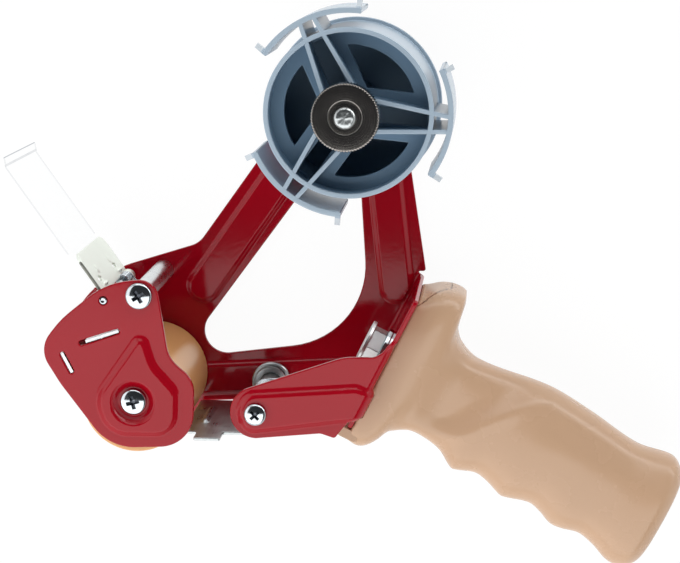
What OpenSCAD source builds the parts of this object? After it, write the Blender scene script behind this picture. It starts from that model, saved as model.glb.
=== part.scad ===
// Handheld packing-tape dispenser, lying on its flat far side.
// Millimetres. +X runs from the roller end to the grip, +Y from the grip to the hub, +Z out of the far plate.
// The origin is the hub axis on the outer face of the far side plate.

/* [Tape] */
// Width of the tape the dispenser takes
tape_w = 48; // [36:1:75]
// Bore of the cardboard core that the hub's fingers hold
core_d = 76.2; // [74:0.1:80]

/* [Frame] */
// Thickness of the pressed steel sheet
sheet = 1.8; // [1.5:0.1:2.1]
// Room beside the tape at each side plate
side_room = 1.7; // [1.5:0.1:3]
// Distance of the roller axis ahead of the hub axis
roller_x = 80; // [76:1:90]
// Distance of the roller axis below the hub axis
roller_y = 108; // [104:1:116]
// Distance of the grip flange's middle behind the hub axis
grip_x = 13.75; // [10:0.25:20]
// Distance of the grip flange's middle below the hub axis
grip_y = 93.5; // [90:0.5:100]
// Lean of the grip flange from the X axis, in degrees
flange_lean = 63.4; // [60:0.2:66]
// Length of the grip flange
flange_len = 57; // [52:1:62]
// Outer bend radius of the flange
bend_r = 3.5; // [2.6:0.1:4.5]
// Height of the stiffening ribs pressed into the legs
rib_h = 2; // [1:0.1:2.4]
// Width of those ribs
rib_w = 12.4; // [9:0.1:14]
// Height of the raised teardrop and of the near arm's raised boss
boss_h = 1.6; // [1:0.1:2]
// Depth of the sunk seat of the roller screw
dimple_h = 1.2; // [0.6:0.1:1.4]
// Radius of that sunk seat
dimple_r = 6.8; // [6:0.1:8]
// Width of the rounded end of the near arm
arm_w = 19.6; // [17:0.2:21]

/* [Hub] */
// Outside diameter of the hub drum
drum_d = 62.4; // [58:0.2:64]
// Wall of the hub drum
drum_wall = 1.8; // [1.2:0.1:2.4]
// Width of the hub from its back to its front ring
hub_w = 43; // [40:0.5:60]
// Rim that the back flange stands out of the drum
flange_rim = 1.5; // [0.5:0.1:2]
// Thickness of the back flange and of the web
web_t = 2; // [1.2:0.1:3]
// Depth of the web behind the front ring
web_drop = 9; // [6:0.5:14]
// Thickness of the spring fingers
finger_t = 2; // [1.4:0.1:2.6]
// Arc of each spring finger, in degrees
finger_arc = 63; // [50:1:80]
// Width of the spring fingers along the axis
finger_w = 34.5; // [24:0.5:38]
// Height of the hooks on the finger ends
hook_h = 3.4; // [1:0.1:4]
// Thickness of the spoke ribs
spoke_t = 1.6; // [1.2:0.1:2]

/* [Brake] */
// Diameter of the spindle's plain shank
spindle_d = 10; // [9.4:0.1:12]
// Diameter of the spindle's thread
thread_d = 8; // [6:0.5:9]
// Thickness of the fibre friction washer
friction_t = 1.4; // [1:0.1:2.4]
// Thickness of the steel pressure and thrust washers
washer_t = 1.2; // [0.8:0.1:2]
// Height of the brake spring
brake_spring_h = 6.4; // [6:0.1:9]
// Wire of the brake spring
brake_wire = 1.2; // [0.9:0.1:1.3]
// Diameter of the knurled nut
nut_d = 25; // [22:0.2:30]
// Thickness of the knurled nut
nut_t = 6; // [4:0.2:8]

/* [Roller] */
// Outside diameter of the rubber roller
roller_d = 40.6; // [37:0.2:42]
// Thickness of the rubber sleeve
tyre_t = 4; // [2:0.2:5]
// Diameter of the roller axle and of the rods between the sides
rod_d = 8; // [7:0.2:9]
// Wall of the roller bushes
bush_wall = 2; // [1.2:0.1:2.6]

/* [Screws] */
// Thread diameter of the side plate screws
screw_d = 5; // [4:0.2:5.4]
// Head diameter of the side plate screws
screw_head_d = 9.5; // [8.5:0.1:10.4]
// Thread diameter of the near arm screw
arm_screw_d = 4; // [3:0.2:4.4]
// Head diameter of the near arm screw
arm_head_d = 8; // [7:0.1:9]
// Height of the screw heads
head_h = 2.6; // [1.8:0.1:3.2]

/* [Grip] */
// Length of the grip behind the flange
grip_len = 121; // [110:1:135]
// Width of the grip's front collar across the hand
collar_w = 40; // [36:0.5:46]
// Width of the grip across the hand
grip_w = 32; // [28:0.5:36]
// Wall in front of the pocket in the grip's top
pocket_wall = 2.6; // [1.6:0.1:4]
// Diameter of the grip bolt
bolt_d = 8; // [6:0.5:9]
// Diameter of the grip bolt's round head and washer
bolt_head_d = 17; // [15:0.5:19]

/* [Flap] */
// Angle of the flap at rest from the X axis, in degrees
flap_lean = 125; // [118:1:132]
// Length of the clear flap from its pin
flap_len = 64.5; // [50:0.5:70]
// Thickness of the clear flap
film_t = 0.6; // [0.4:0.1:1]
// Diameter of the flap pin
pin_d = 3; // [2.4:0.1:3.4]
// Thickness of the zinc bracket sheets
bracket_t = 1.2; // [1:0.1:1.5]
// Length of the flap bracket from the pin
bracket_len = 19.5; // [16:0.5:24]
// Wire of the flap and retainer springs
spring_wire = 0.9; // [0.7:0.1:1]

/* [Cutter] */
// Length of the blade holder's long leg
holder_long = 25; // [23:0.5:26]
// Length of the blade holder's short leg
holder_short = 9.6; // [9:0.2:11]
// Pitch of the blade's teeth
tooth_pitch = 2; // [1.5:0.1:3]
// Thickness of the cutter blade
blade_t = 0.8; // [0.5:0.1:1]

/* [Hidden] */
$fn = 64;

// Colours
RED = [0.68, 0.03, 0.08];
ZINC = [0.78, 0.80, 0.80];
STEEL = [0.45, 0.43, 0.41];
BLUE_GREY = [0.55, 0.65, 0.74];
BEIGE = [0.86, 0.68, 0.50];
TAN = [0.76, 0.48, 0.22];
FIBRE = [0.45, 0.30, 0.20];
BRONZE = [0.66, 0.48, 0.25];
NYLON = [0.90, 0.89, 0.85];
CLEAR = [0.90, 0.95, 1.00, 0.35];

// Clearances
run_gap = 0.05;    // radial, shaft in its bush
fit_gap = 0.1;     // radial, rod or screw in its hole
press_gap = 0.02;  // radial, piece pressed into another
face_gap = 0.1;    // along an axis, between faces that slide
side_gap = 0.4;    // along an axis, between swinging pieces
through = 1;       // how far a cut runs past a face

// Levels above the far plate's outer face
inner_w = tape_w + 2 * side_room;
z_in = sheet;
z_near = z_in + inner_w;
z_out = z_near + sheet;
z_mid = z_in + inner_w / 2;

// Axes seen from above: roller, grip flange, rear cross pin, upper rod and flap pin
roller_at = [-roller_x, -roller_y];
grip_at = [grip_x, -grip_y];
arm_reach = 47.6;
arm_drop = 17.7;
rear_at = grip_at + [-arm_reach, -arm_drop];
upper_out = [3, 40.5];
upper_at = roller_at + upper_out;
flap_out = [-10.5, 38.5];
flap_at = roller_at + flap_out;

// Outline helpers: a corner is [x, y, radius], and a radius is limited by its shorter edge
function xy(p) = [p[0], p[1]];
function unit(v) = v / norm(v);
function cross2(a, b) = a[0] * b[1] - a[1] * b[0];
function moved(at, p) = [at[0] + p[0], at[1] + p[1], p[2]];
arc_step = 12;
edge_share = 0.49;
function corner(a, b, c, r) =
    let (
        u = unit(a - b), v = unit(c - b), half = acos(u * v) / 2,
        fit = min(r, tan(half) * edge_share * min(norm(a - b), norm(c - b))),
        centre = b + unit(u + v) * fit / sin(half),
        from = b + u * fit / tan(half) - centre,
        turn = (cross2(b - a, c - b) > 0 ? 1 : -1) * (180 - 2 * half),
        start = atan2(from[1], from[0]),
        steps = max(2, ceil(abs(turn) / arc_step))
    )
    r == 0 ? [b] : [for (i = [0:steps]) let (a = start + turn * i / steps) centre + fit * [cos(a), sin(a)]];
function rounded(list) =
    let (n = len(list))
    [for (i = [0:n - 1])
        each corner(xy(list[(i + n - 1) % n]), xy(list[i]), xy(list[(i + 1) % n]), list[i][2])];
module plate(list, z, t) { translate([0, 0, z]) linear_extrude(t) polygon(rounded(list)); }
module slot(a, b, r, z, t) {
    d = b - a;
    translate([a[0], a[1], z]) rotate(atan2(d[1], d[0])) union() {
        cylinder(r = r, h = t);
        translate([norm(d), 0, 0]) cylinder(r = r, h = t);
        translate([0, -r, 0]) cube([norm(d), 2 * r, t]);
    }
}
module rod(at, r, z0, z1) { translate([at[0], at[1], z0]) cylinder(r = r, h = z1 - z0); }
module ring(at, r, bore_r, z0, z1) {
    difference() {
        rod(at, r, z0, z1);
        rod(at, bore_r, z0 - through, z1 + through);
    }
}

// Grip flange frame: +X points back into the hand, +Y runs up the flange
module at_flange() { translate([grip_at[0], grip_at[1], 0]) rotate(flange_lean - 90) children(); }
flange_up = [cos(flange_lean), sin(flange_lean)];
flange_back = [sin(flange_lean), -cos(flange_lean)];
function on_flange(x, y, r) =
    let (p = grip_at + x * flange_back + y * flange_up) [p[0], p[1], r];

// Frame outlines: corners with their radii, seen from the roller axis, the hub axis or the grip flange
function from_roller(list) = [for (p = list) moved(roller_at, p)];
function from_grip(list) = [for (p = list) moved(grip_at, p)];
head_corners = [[-15, 41.3, 25], [-27.2, 30.7, 25], [-35.4, 20, 6], [-27.5, 6.5, 30], [-9.3, -18, 18.5]];
apex_corner = [[9.9, 44.9, 17.5]];
far_shoulder = [[17.2, 51.4, 10]];
far_chin = [[12, -18, 6], [18, -12.6, 6]];
leg_step = [-0.4, 1.5, 1];
leg_foot_r = 2;
far_outline = concat(
    apex_corner, from_roller(far_shoulder), from_roller(head_corners), from_roller(far_chin),
    [
        on_flange(-bend_r, -flange_len / 2, leg_foot_r), on_flange(-bend_r, flange_len / 2, 0),
        on_flange(leg_step[0], flange_len / 2 + leg_step[1], leg_step[2])
    ]
);
window_top = [[-0.6, -6.8, 6]];
window_front = [[8.3, 4.6, 9]];
window_back = [[-8.9, 0.1, 33]];
window_outline = concat(window_top, from_roller(window_front), from_grip(window_back));
near_crown = [[9.2, 47, 7.2]];
near_back = [[22, -18, 14], [22.5, 8.6, 10], [13.6, 16.8, 12]];
near_outline = from_roller(concat(near_crown, head_corners, near_back));
teardrop_corners = [
    [4.5, 30, 4], [-15.5, 1.5, 12], [-10, -13.2, 11], [16.8, -13.2, 10], [17.4, 5, 8], [8.6, 14.5, 12]
];
teardrop = from_roller(teardrop_corners);
front_rib = [[-20, -14.5], [19, 34.5]];
back_rib = [[10.2, -25], [1.6, 20.5]];
low_rib = [[27.8, -3], [-20, -14.5]];
ribs = [
    [front_rib[0], roller_at + front_rib[1]],
    [back_rib[0], grip_at + back_rib[1]],
    [roller_at + low_rib[0], grip_at + low_rib[1]]
];
arm_r = arm_w / 2;
arm_top_lean = 19;
arm_drop_top = 26.5;
arm_top = flange_len / 2 - arm_drop_top;
arm_shoulder = [-14.5, 4.2, 20];
arm_fillet = 3;
arm_outline = [
    [rear_at[0] - arm_r * sin(arm_top_lean), rear_at[1] + arm_r * cos(arm_top_lean), 0],
    moved(grip_at, arm_shoulder), on_flange(-bend_r, arm_top, arm_fillet),
    on_flange(-bend_r, -flange_len / 2, leg_foot_r), [rear_at[0], rear_at[1] - arm_r, 0]
];
boss_nose = [[-4, -8.2, 7], [-8.2, 0, 7], [-4, 8.4, 7]];
boss_shoulder = [-10, -6.2, 6];
boss_heel = [[-1, -9, 2], [-1.5, -21.5, 3]];
arm_boss = concat(
    [for (p = boss_nose) moved(rear_at, p)], [moved(grip_at, boss_shoulder)],
    [for (p = boss_heel) on_flange(p[0], p[1], p[2])]
);
arm_pocket = [31.6, 8];
arm_pocket_wall = 4.6;
channel_lip = 8;
function channel(top_lip) = concat(
    [[-channel_lip, 0, 0], [0, 0, bend_r]],
    top_lip ? [
        [0, z_out, bend_r], [-channel_lip, z_out, 0], [-channel_lip, z_near, 0],
        [-sheet, z_near, bend_r - sheet]
    ] : [[0, z_out, 0], [-sheet, z_out, 0]],
    [[-sheet, sheet, bend_r - sheet], [-channel_lip, sheet, 0]]
);
module flange_run(top_lip, y0, y1) {
    at_flange() translate([0, y1, 0]) rotate([90, 0, 0]) linear_extrude(y1 - y0)
        polygon(rounded(channel(top_lip)));
}

// Blade holder: an angle whose legs lie along these two leans, and the tabs that reach through the sides
holder_out = [-27.5, 18.8];
holder_at = roller_at + holder_out;
long_lean = 18.7;
short_lean = -63;
long_tab = [10.8, 13.2];
short_tab = [0.9, 8.2];
slot_gap = 0.35;
slot_back = 2.6;
module holder_slots(z, t) {
    translate([holder_at[0], holder_at[1], z]) {
        rotate(long_lean) translate([long_tab[0] - slot_back, -slot_gap, 0])
            cube([long_tab[1] + slot_back + slot_gap, bracket_t + 2 * slot_gap, t]);
        rotate(short_lean) translate([short_tab[0] - slot_gap, -slot_gap, 0])
            cube([short_tab[1] + 2 * slot_gap, bracket_t + 2 * slot_gap, t]);
    }
}

// Reduced ends that hold the rods in the far plate
tail_step = 1;
tail_r = rod_d / 2 - tail_step;
tail_sink = 0.2;
module side_holes(z, t) {
    rod(flap_at, pin_d / 2 + fit_gap, z, z + t);
    holder_slots(z, t);
}

module main_frame() {
    color(RED) difference() {
        union() {
            difference() {
                plate(far_outline, 0, sheet);
                plate(window_outline, -through, sheet + 2 * through);
            }
            for (r = ribs) slot(r[0], r[1], rib_w / 2, 0, sheet + rib_h);
            flange_run(true, -flange_len / 2, arm_top);
            flange_run(false, arm_top, flange_len / 2);
            plate(arm_outline, z_near, sheet);
            rod(rear_at, arm_r, z_near, z_out);
            plate(arm_boss, z_near, sheet + boss_h);
        }
        for (r = ribs) slot(r[0], r[1], rib_w / 2 - sheet, -through, rib_h + through);
        slot(rear_at, rear_at + arm_pocket, arm_r - arm_pocket_wall, z_near - through, boss_h + through);
        for (at = [roller_at, upper_at]) rod(at, tail_r + fit_gap, -through, sheet + through);
        rod(rear_at, tail_r + fit_gap, 0, sheet + rib_h + through);
        rod(rear_at, arm_screw_d / 2 + fit_gap, z_near, z_out + boss_h + through);
        side_holes(-through, sheet + 2 * through);
        at_flange() translate([-sheet - through, 0, z_mid]) rotate([0, 90, 0])
            cylinder(r = bolt_d / 2 + fit_gap, h = sheet + 2 * through);
    }
}

press_r = 10.8;
module front_side_plate() {
    color(RED) difference() {
        union() {
            plate(near_outline, z_near, sheet);
            plate(teardrop, z_near, sheet + boss_h);
            rod(roller_at, dimple_r + sheet, z_near - dimple_h, z_out);
        }
        ring(roller_at, press_r, dimple_r + sheet, z_near - through, z_near + boss_h);
        rod(roller_at, dimple_r, z_out - dimple_h, z_out + boss_h + through);
        for (at = [roller_at, upper_at])
            rod(at, screw_d / 2 + fit_gap, z_near - dimple_h - through, z_out + boss_h + through);
        side_holes(z_near - through, sheet + 2 * through);
    }
}

// Rods and fasteners between the two sides
module tapped_rod(at, z0, z1, tap_r, tap, tail_z) {
    difference() {
        union() {
            rod(at, rod_d / 2, z0, z1);
            rod(at, tail_r, tail_z, z0 + through);
        }
        rod(at, tap_r, z1 - tap, z1 + through);
    }
}
screw_len = 12;
tap_depth = screw_len + 3;
module pan_screw(at, seat, d, head_d) {
    recess_w = d * 0.22;
    recess_l = head_d * 0.56;
    crown = head_h * 0.55;
    difference() {
        translate([at[0], at[1], seat]) union() {
            translate([0, 0, -screw_len]) cylinder(r = d / 2, h = screw_len + through);
            cylinder(r = head_d / 2, h = head_h - crown);
            translate([0, 0, head_h - crown])
                cylinder(r1 = head_d / 2, r2 = head_d / 2 - crown, h = crown);
        }
        for (turn = [20, 110])
            translate([at[0], at[1], seat + head_h]) rotate(turn)
                cube([recess_l, recess_w, 2 * crown], center = true);
    }
}
axle_end = z_near - dimple_h;
rear_end = z_near + boss_h;
rear_seat = z_in + rib_h;

module roller_axle() {
    color(ZINC) tapped_rod(roller_at, z_in, axle_end, screw_d / 2 + fit_gap, tap_depth, tail_sink);
}
module upper_tie_rod() {
    color(ZINC) tapped_rod(upper_at, z_in, z_near, screw_d / 2 + fit_gap, tap_depth, tail_sink);
}
module rear_cross_pin() {
    color(ZINC)
        tapped_rod(rear_at, rear_seat, rear_end, arm_screw_d / 2 + fit_gap, tap_depth, rib_h + tail_sink);
}
module roller_screw() { color(ZINC) pan_screw(roller_at, z_out - dimple_h, screw_d, screw_head_d); }
module upper_screw() { color(ZINC) pan_screw(upper_at, z_out, screw_d, screw_head_d); }
module arm_screw() { color(ZINC) pan_screw(rear_at, z_out + boss_h, arm_screw_d, arm_head_d); }
collar_r = 7.8;
collar_t = 2;
module rear_pin_collar() {
    color(ZINC) ring(rear_at, collar_r, rod_d / 2 + fit_gap, rear_seat, rear_seat + collar_t);
}

// Roller
roller_r = roller_d / 2;
core_r = roller_r - tyre_t;
roller_trim = 0.4;
roller_len = tape_w - roller_trim;
roller_z0 = (z_in + axle_end - roller_len) / 2;
roller_z1 = roller_z0 + roller_len;
bush_r = rod_d / 2 + run_gap + bush_wall;
bush_len = 9;
core_wall = 2;
module roller_tyre() {
    color(TAN) ring(roller_at, roller_r, core_r + press_gap, roller_z0, roller_z1);
}
module roller_core() {
    color(NYLON) difference() {
        rod(roller_at, core_r, roller_z0, roller_z1);
        rod(roller_at, bush_r + press_gap, roller_z0 - through, roller_z1 + through);
        for (z = [roller_z0 - through, roller_z1 - bush_len])
            ring(roller_at, core_r - core_wall, bush_r + core_wall, z, z + bush_len + through);
    }
}
module roller_bushes() {
    color(BRONZE) for (z = [roller_z0, roller_z1 - bush_len])
        ring(roller_at, bush_r, rod_d / 2 + run_gap, z, z + bush_len);
}
module roller_washers() {
    color(NYLON) {
        ring(roller_at, bush_r + 1, rod_d / 2 + fit_gap, z_in, roller_z0 - face_gap);
        ring(roller_at, bush_r + 1, rod_d / 2 + fit_gap, roller_z1 + face_gap, axle_end);
    }
}

// Hub spindle and brake stack, from the far plate outward
spindle_r = spindle_d / 2;
foot_r = 11;
foot_h = 2.6;
friction_z = z_in + foot_h + face_gap;
hub_z0 = friction_z + friction_t;
hub_z1 = hub_z0 + hub_w;
pressure_z = hub_z1;
shank_end = pressure_z + washer_t;
spring_z = shank_end + face_gap;
thrust_z = spring_z + brake_spring_h + face_gap;
nut_z = thrust_z + washer_t;
nut_r = nut_d / 2;
spindle_out = 2;
spindle_end = nut_z + nut_t + spindle_out;
brake_washer_r = 10;
module hub_spindle() {
    color(ZINC) union() {
        rod([0, 0], foot_r, z_in, z_in + foot_h);
        rod([0, 0], spindle_r, z_in, shank_end);
        rod([0, 0], thread_d / 2, z_in, spindle_end);
    }
}
hub_bush_wall = 1.6;
hub_bush_r = spindle_r + run_gap + hub_bush_wall;
module hub_bush() { color(BRONZE) ring([0, 0], hub_bush_r, spindle_r + run_gap, hub_z0, hub_z1); }
module friction_washer() {
    color(FIBRE) ring([0, 0], brake_washer_r, spindle_r + run_gap, friction_z, hub_z0);
}
module pressure_washer() {
    color(STEEL) ring([0, 0], brake_washer_r, spindle_r + run_gap, pressure_z, pressure_z + washer_t);
}
module thrust_washer() {
    color(STEEL) ring([0, 0], brake_washer_r, thread_d / 2 + run_gap, thrust_z, thrust_z + washer_t);
}
knurl_depth = 0.35;
knurl_pitch = 1.1;
nut_recess_r = 6;
nut_recess_h = 1.2;
module brake_nut() {
    teeth = round(PI * nut_d / knurl_pitch);
    knurl = [for (i = [0:2 * teeth - 1])
        (nut_r - (i % 2) * knurl_depth) * [cos(180 * i / teeth), sin(180 * i / teeth)]];
    color(STEEL) difference() {
        translate([0, 0, nut_z]) linear_extrude(nut_t) polygon(knurl);
        rod([0, 0], thread_d / 2 + run_gap, nut_z - through, nut_z + nut_t + through);
        rod([0, 0], nut_recess_r, nut_z + nut_t - nut_recess_h, nut_z + nut_t + through);
    }
}

// Tape hub: drum, back flange, web, spokes and spring fingers in one moulding
drum_r = drum_d / 2;
drum_in = drum_r - drum_wall;
finger_bias = 0.2;
finger_r = core_d / 2 + finger_bias;
finger_in = finger_r - finger_t;
boss_wall = 2.2;
boss_r = hub_bush_r + boss_wall;
spoke_turns = [-5.8, 114.2, 234.2];
spoke_lean = 6.2;
spoke_half = 6.7;
spoke_start = 1;
web_z = hub_z1 - web_drop - web_t;
ledge = 5;
window_in = 1;
window_side = 3.6;
hook_arc = 3;
hook_inset = 0.4;
hook_sink = 0.2;
hook_ramp = 0.75;
finger_z = hub_z1 - finger_w;
function turned(p, a) = [p[0] * cos(a) - p[1] * sin(a), p[0] * sin(a) + p[1] * cos(a)];
module spoke_rib(turn, side, from_r, to_r, z0) {
    half = spoke_t / 2;
    outline = [[from_r, -half], [to_r, -half], [to_r, half], [from_r, half]];
    translate([0, 0, z0]) linear_extrude(hub_z1 - z0)
        polygon([for (p = outline) turned(turned(p, -side * spoke_lean) + [0, side * spoke_half], turn)]);
}
module finger(turn) {
    reach = 2 * finger_r;
    wedge = [for (a = [-finger_arc / 2, 0, finger_arc / 2]) turned([reach, 0], turn + a)];
    translate([0, 0, finger_z]) linear_extrude(finger_w) intersection() {
        difference() {
            circle(r = finger_r);
            circle(r = finger_in);
        }
        polygon(concat([[0, 0]], wedge));
    }
}
module finger_hook(turn) {
    top = hub_z1 - hook_sink;
    rotate(turn) rotate_extrude(angle = hook_arc)
        polygon([[finger_r - finger_t / 2, top - hook_h], [finger_r + hook_h, top - hook_h],
            [finger_r + hook_h, top - hook_h * hook_ramp], [finger_r, top], [finger_r - finger_t / 2, top]]);
}
module web_openings() {
    window = spoke_half - window_side;
    translate([0, 0, web_z - through]) linear_extrude(web_t + 2 * through) union() {
        difference() {
            circle(r = drum_in - ledge);
            circle(r = boss_r + ledge / 2);
            for (t = spoke_turns) rotate(t) translate([0, -spoke_half - ledge / 2])
                square([drum_in, 2 * spoke_half + ledge]);
        }
        for (t = spoke_turns) rotate(t) translate([boss_r + window_in, -window])
            square([drum_in - boss_r - 2 * window_in, 2 * window]);
    }
}
module tape_hub() {
    wall_mid = drum_in + drum_wall / 2;
    color(BLUE_GREY) difference() {
        union() {
            ring([0, 0], drum_r, drum_in, hub_z0, hub_z1);
            rod([0, 0], drum_r + flange_rim, hub_z0, hub_z0 + web_t);
            rod([0, 0], boss_r, hub_z0, hub_z1);
            rod([0, 0], wall_mid, web_z, web_z + web_t);
            for (t = spoke_turns) {
                for (side = [-1, 1]) {
                    spoke_rib(t, side, spoke_start, wall_mid, web_z);
                    spoke_rib(t, side, wall_mid, finger_in + finger_t / 2, finger_z);
                }
                finger(t);
                finger_hook(t - finger_arc / 2 + hook_inset);
                finger_hook(t + finger_arc / 2 - hook_arc - hook_inset);
            }
        }
        web_openings();
        rod([0, 0], hub_bush_r + press_gap, hub_z0 - through, hub_z1 + through);
    }
}

// Grip: rings of a rounded section that stand behind the flange, each between an upper and a lower line
grip_top = [
    [0, 28.4], [0.05, 32.4], [0.085, 34.2], [0.125, 34.4], [0.138, 32.6], [0.147, 26], [0.157, 21],
    [0.19, 16.2], [0.265, 13.4], [0.5, 16.7], [0.66, 15.2], [0.83, 12.4], [0.94, 14.3], [1, 13]
];
grip_bottom = [
    [0, -35], [0.04, -35.6], [0.065, -34.2], [0.087, -30.8], [0.108, -25.6], [0.165, -21.8], [0.215, -21.9],
    [0.28, -23.9], [0.343, -28.5], [0.415, -25.8], [0.52, -29.4], [0.61, -26.7], [0.71, -30.4],
    [0.793, -28.5], [0.92, -33.1], [1, -31.5]
];
grip_side = [
    [0, collar_w / 2], [0.08, collar_w / 2], [0.2, grip_w / 2 + 0.6], [0.32, grip_w / 2 - 0.6],
    [0.6, grip_w / 2 + 0.4], [0.82, grip_w / 2 - 0.4], [0.95, grip_w / 2 + 1], [1, grip_w / 2]
];
grip_square = [[0, 5], [0.12, 4], [0.3, 2.6], [1, 2.5]];
function slope(k, i) =
    i == 0 || i == len(k) - 1 ? 0 : (k[i + 1][1] - k[i - 1][1]) / (k[i + 1][0] - k[i - 1][0]);
function span(k, s, i = 0) = i >= len(k) - 2 || s <= k[i + 1][0] ? i : span(k, s, i + 1);
function curve(k, s) =
    let (
        i = span(k, s), w = k[i + 1][0] - k[i][0], t = min(1, max(0, (s - k[i][0]) / w)),
        a = slope(k, i) * w, b = slope(k, i + 1) * w, p = k[i][1], q = k[i + 1][1]
    )
    p + t * (a + t * (3 * (q - p) - 2 * a - b + t * (2 * (p - q) + a + b)));
grip_sides = 28;
end_round = 6;
grip_front_gap = 0.05;
grip_steps = concat(
    [for (s = [0:0.025:0.1]) s], [for (s = [0.112:0.0083:0.162]) s], [for (s = [0.18:0.029:0.925]) s],
    [for (a = [0:15:90]) 1 - end_round / grip_len * (1 - sin(a))]
);
function end_inset(s) =
    let (d = max(0, s * grip_len - (grip_len - end_round)) / end_round)
    end_round * (1 - sqrt(max(0, 1 - d * d)));
function power(v, e) = sign(v) * pow(abs(v), e);
function grip_ring(s) =
    let (
        e = 2 / curve(grip_square, s), inset = end_inset(s),
        top = curve(grip_top, s) - inset, low = curve(grip_bottom, s) + inset,
        side = curve(grip_side, s) - inset
    )
    [for (j = [0:grip_sides - 1])
        let (a = 360 * (j + 0.5) / grip_sides)
        [grip_front_gap + s * grip_len, (top + low) / 2 + (top - low) / 2 * power(cos(a), e),
            z_mid + side * power(sin(a), e)]];
function skin_faces(rings, n) = concat(
    [for (i = [0:rings - 2], j = [0:n - 1]) [i * n + j, i * n + (j + 1) % n, (i + 1) * n + j]],
    [for (i = [0:rings - 2], j = [0:n - 1])
        [i * n + (j + 1) % n, (i + 1) * n + (j + 1) % n, (i + 1) * n + j]],
    [for (j = [1:n - 2]) [0, j + 1, j]],
    [for (j = [1:n - 2]) [(rings - 1) * n, (rings - 1) * n + j, (rings - 1) * n + j + 1]]
);
pocket_top = 36;
pocket_deep = 26;
pocket_half = 12;
pocket_back = 14;
insert_wall = 2.2;
insert_r = bolt_d / 2 + insert_wall;
insert_x = [4, 22];
bolt_room = 2;
module grip_pocket() {
    outline = [[pocket_wall, -pocket_half, 2], [pocket_back, 0, 3], [pocket_wall, pocket_half, 2]];
    translate([0, pocket_top, z_mid]) rotate([90, 0, 0]) linear_extrude(pocket_deep)
        polygon(rounded(outline));
}
module along_bolt(r, x0, x1) {
    translate([x0, 0, z_mid]) rotate([0, 90, 0]) cylinder(r = r, h = x1 - x0);
}
module handle_grip() {
    color(BEIGE) at_flange() difference() {
        polyhedron([for (s = grip_steps) each grip_ring(s)], skin_faces(len(grip_steps), grip_sides),
            convexity = 6);
        grip_pocket();
        along_bolt(bolt_d / 2 + fit_gap, -through, insert_x[1] + bolt_room);
        along_bolt(insert_r + press_gap, insert_x[0], insert_x[1]);
    }
}
bolt_washer_t = 1.8;
hex_h = 5.2;
hex_flats = 13;
bolt_head_t = 1.4;
hex_x = -sheet - bolt_washer_t - hex_h;
module handle_bolt() {
    color(ZINC) at_flange() union() {
        along_bolt(bolt_d / 2, hex_x, insert_x[1] - bolt_room / 2);
        translate([hex_x, 0, z_mid]) rotate([0, 90, 0])
            cylinder(d = hex_flats / cos(30), h = hex_h, $fn = 6);
        along_bolt(bolt_head_d / 2, hex_x - bolt_head_t, hex_x);
    }
}
module handle_washer() {
    color(ZINC) at_flange() difference() {
        along_bolt(bolt_head_d / 2, -sheet - bolt_washer_t, -sheet);
        along_bolt(bolt_d / 2 + fit_gap, -sheet - bolt_washer_t - through, through);
    }
}
module handle_insert() {
    color(BRONZE) at_flange() difference() {
        along_bolt(insert_r, insert_x[0], insert_x[1]);
        along_bolt(bolt_d / 2 + fit_gap, insert_x[0] - through, insert_x[1] + through);
    }
}

// Cutter: angle, serrated blade and rivets
blade_drop = 5.4;
tooth_h = 2;
rivet_r = 1.2;
rivet_head_r = 2;
rivet_head_h = 0.7;
blade_room = 2;
blade_span = tape_w - blade_room;
blade_rows = [z_mid - blade_span / 4, z_mid + blade_span / 4];
blade_mid = 5;
leg_inset = 4;
elbow_in = 0.2;
elbow_proud = 0.05;
tab_ease = 0.05;
module at_short_leg() { translate([holder_at[0], holder_at[1], 0]) rotate(short_lean) children(); }
module blade_holder() {
    leg_z = z_in + leg_inset;
    leg_w = inner_w - 2 * leg_inset;
    tab_z = tail_sink;
    tab_w = z_out - tail_sink;
    tab_t = bracket_t - 2 * tab_ease;
    color(ZINC) difference() {
        union() {
            translate([holder_at[0], holder_at[1], 0]) {
                rotate(long_lean) translate([0, 0, leg_z]) cube([holder_long, bracket_t, leg_w]);
                rotate(long_lean) translate([long_tab[0], tab_ease, tab_z]) cube([long_tab[1], tab_t, tab_w]);
                translate([0, 0, leg_z + elbow_in])
                    cylinder(r = bracket_t + elbow_proud, h = leg_w - 2 * elbow_in);
            }
            at_short_leg() {
                translate([0, 0, leg_z + 2 * elbow_in]) cube([holder_short, bracket_t, leg_w - 4 * elbow_in]);
                translate([short_tab[0], tab_ease, tab_z]) cube([short_tab[1], tab_t, tab_w]);
            }
        }
        at_short_leg() for (z = blade_rows) translate([blade_mid, -through, z]) rotate([-90, 0, 0])
            cylinder(r = rivet_r + fit_gap, h = bracket_t + 2 * through);
    }
}
module cutter_blade() {
    teeth = floor(blade_span / tooth_pitch);
    edge = [for (i = [0:2 * teeth])
        [holder_short + blade_drop - (i % 2 == 0 ? tooth_h : 0), (i - teeth) * tooth_pitch / 2]];
    back = blade_mid - 3;
    color(STEEL) at_short_leg() difference() {
        translate([0, 0, z_mid]) rotate([90, 0, 0]) linear_extrude(blade_t)
            polygon(concat([[back, -teeth * tooth_pitch / 2]], edge, [[back, teeth * tooth_pitch / 2]]));
        for (z = blade_rows) translate([blade_mid, -blade_t - through, z]) rotate([-90, 0, 0])
            cylinder(r = rivet_r + fit_gap, h = blade_t + 2 * through);
    }
}
module rivet(r, head_r, head_h, grip) {
    union() {
        cylinder(r = r, h = grip);
        translate([0, 0, -head_h]) cylinder(r = head_r, h = head_h);
        translate([0, 0, grip]) cylinder(r = head_r, h = head_h);
    }
}
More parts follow.
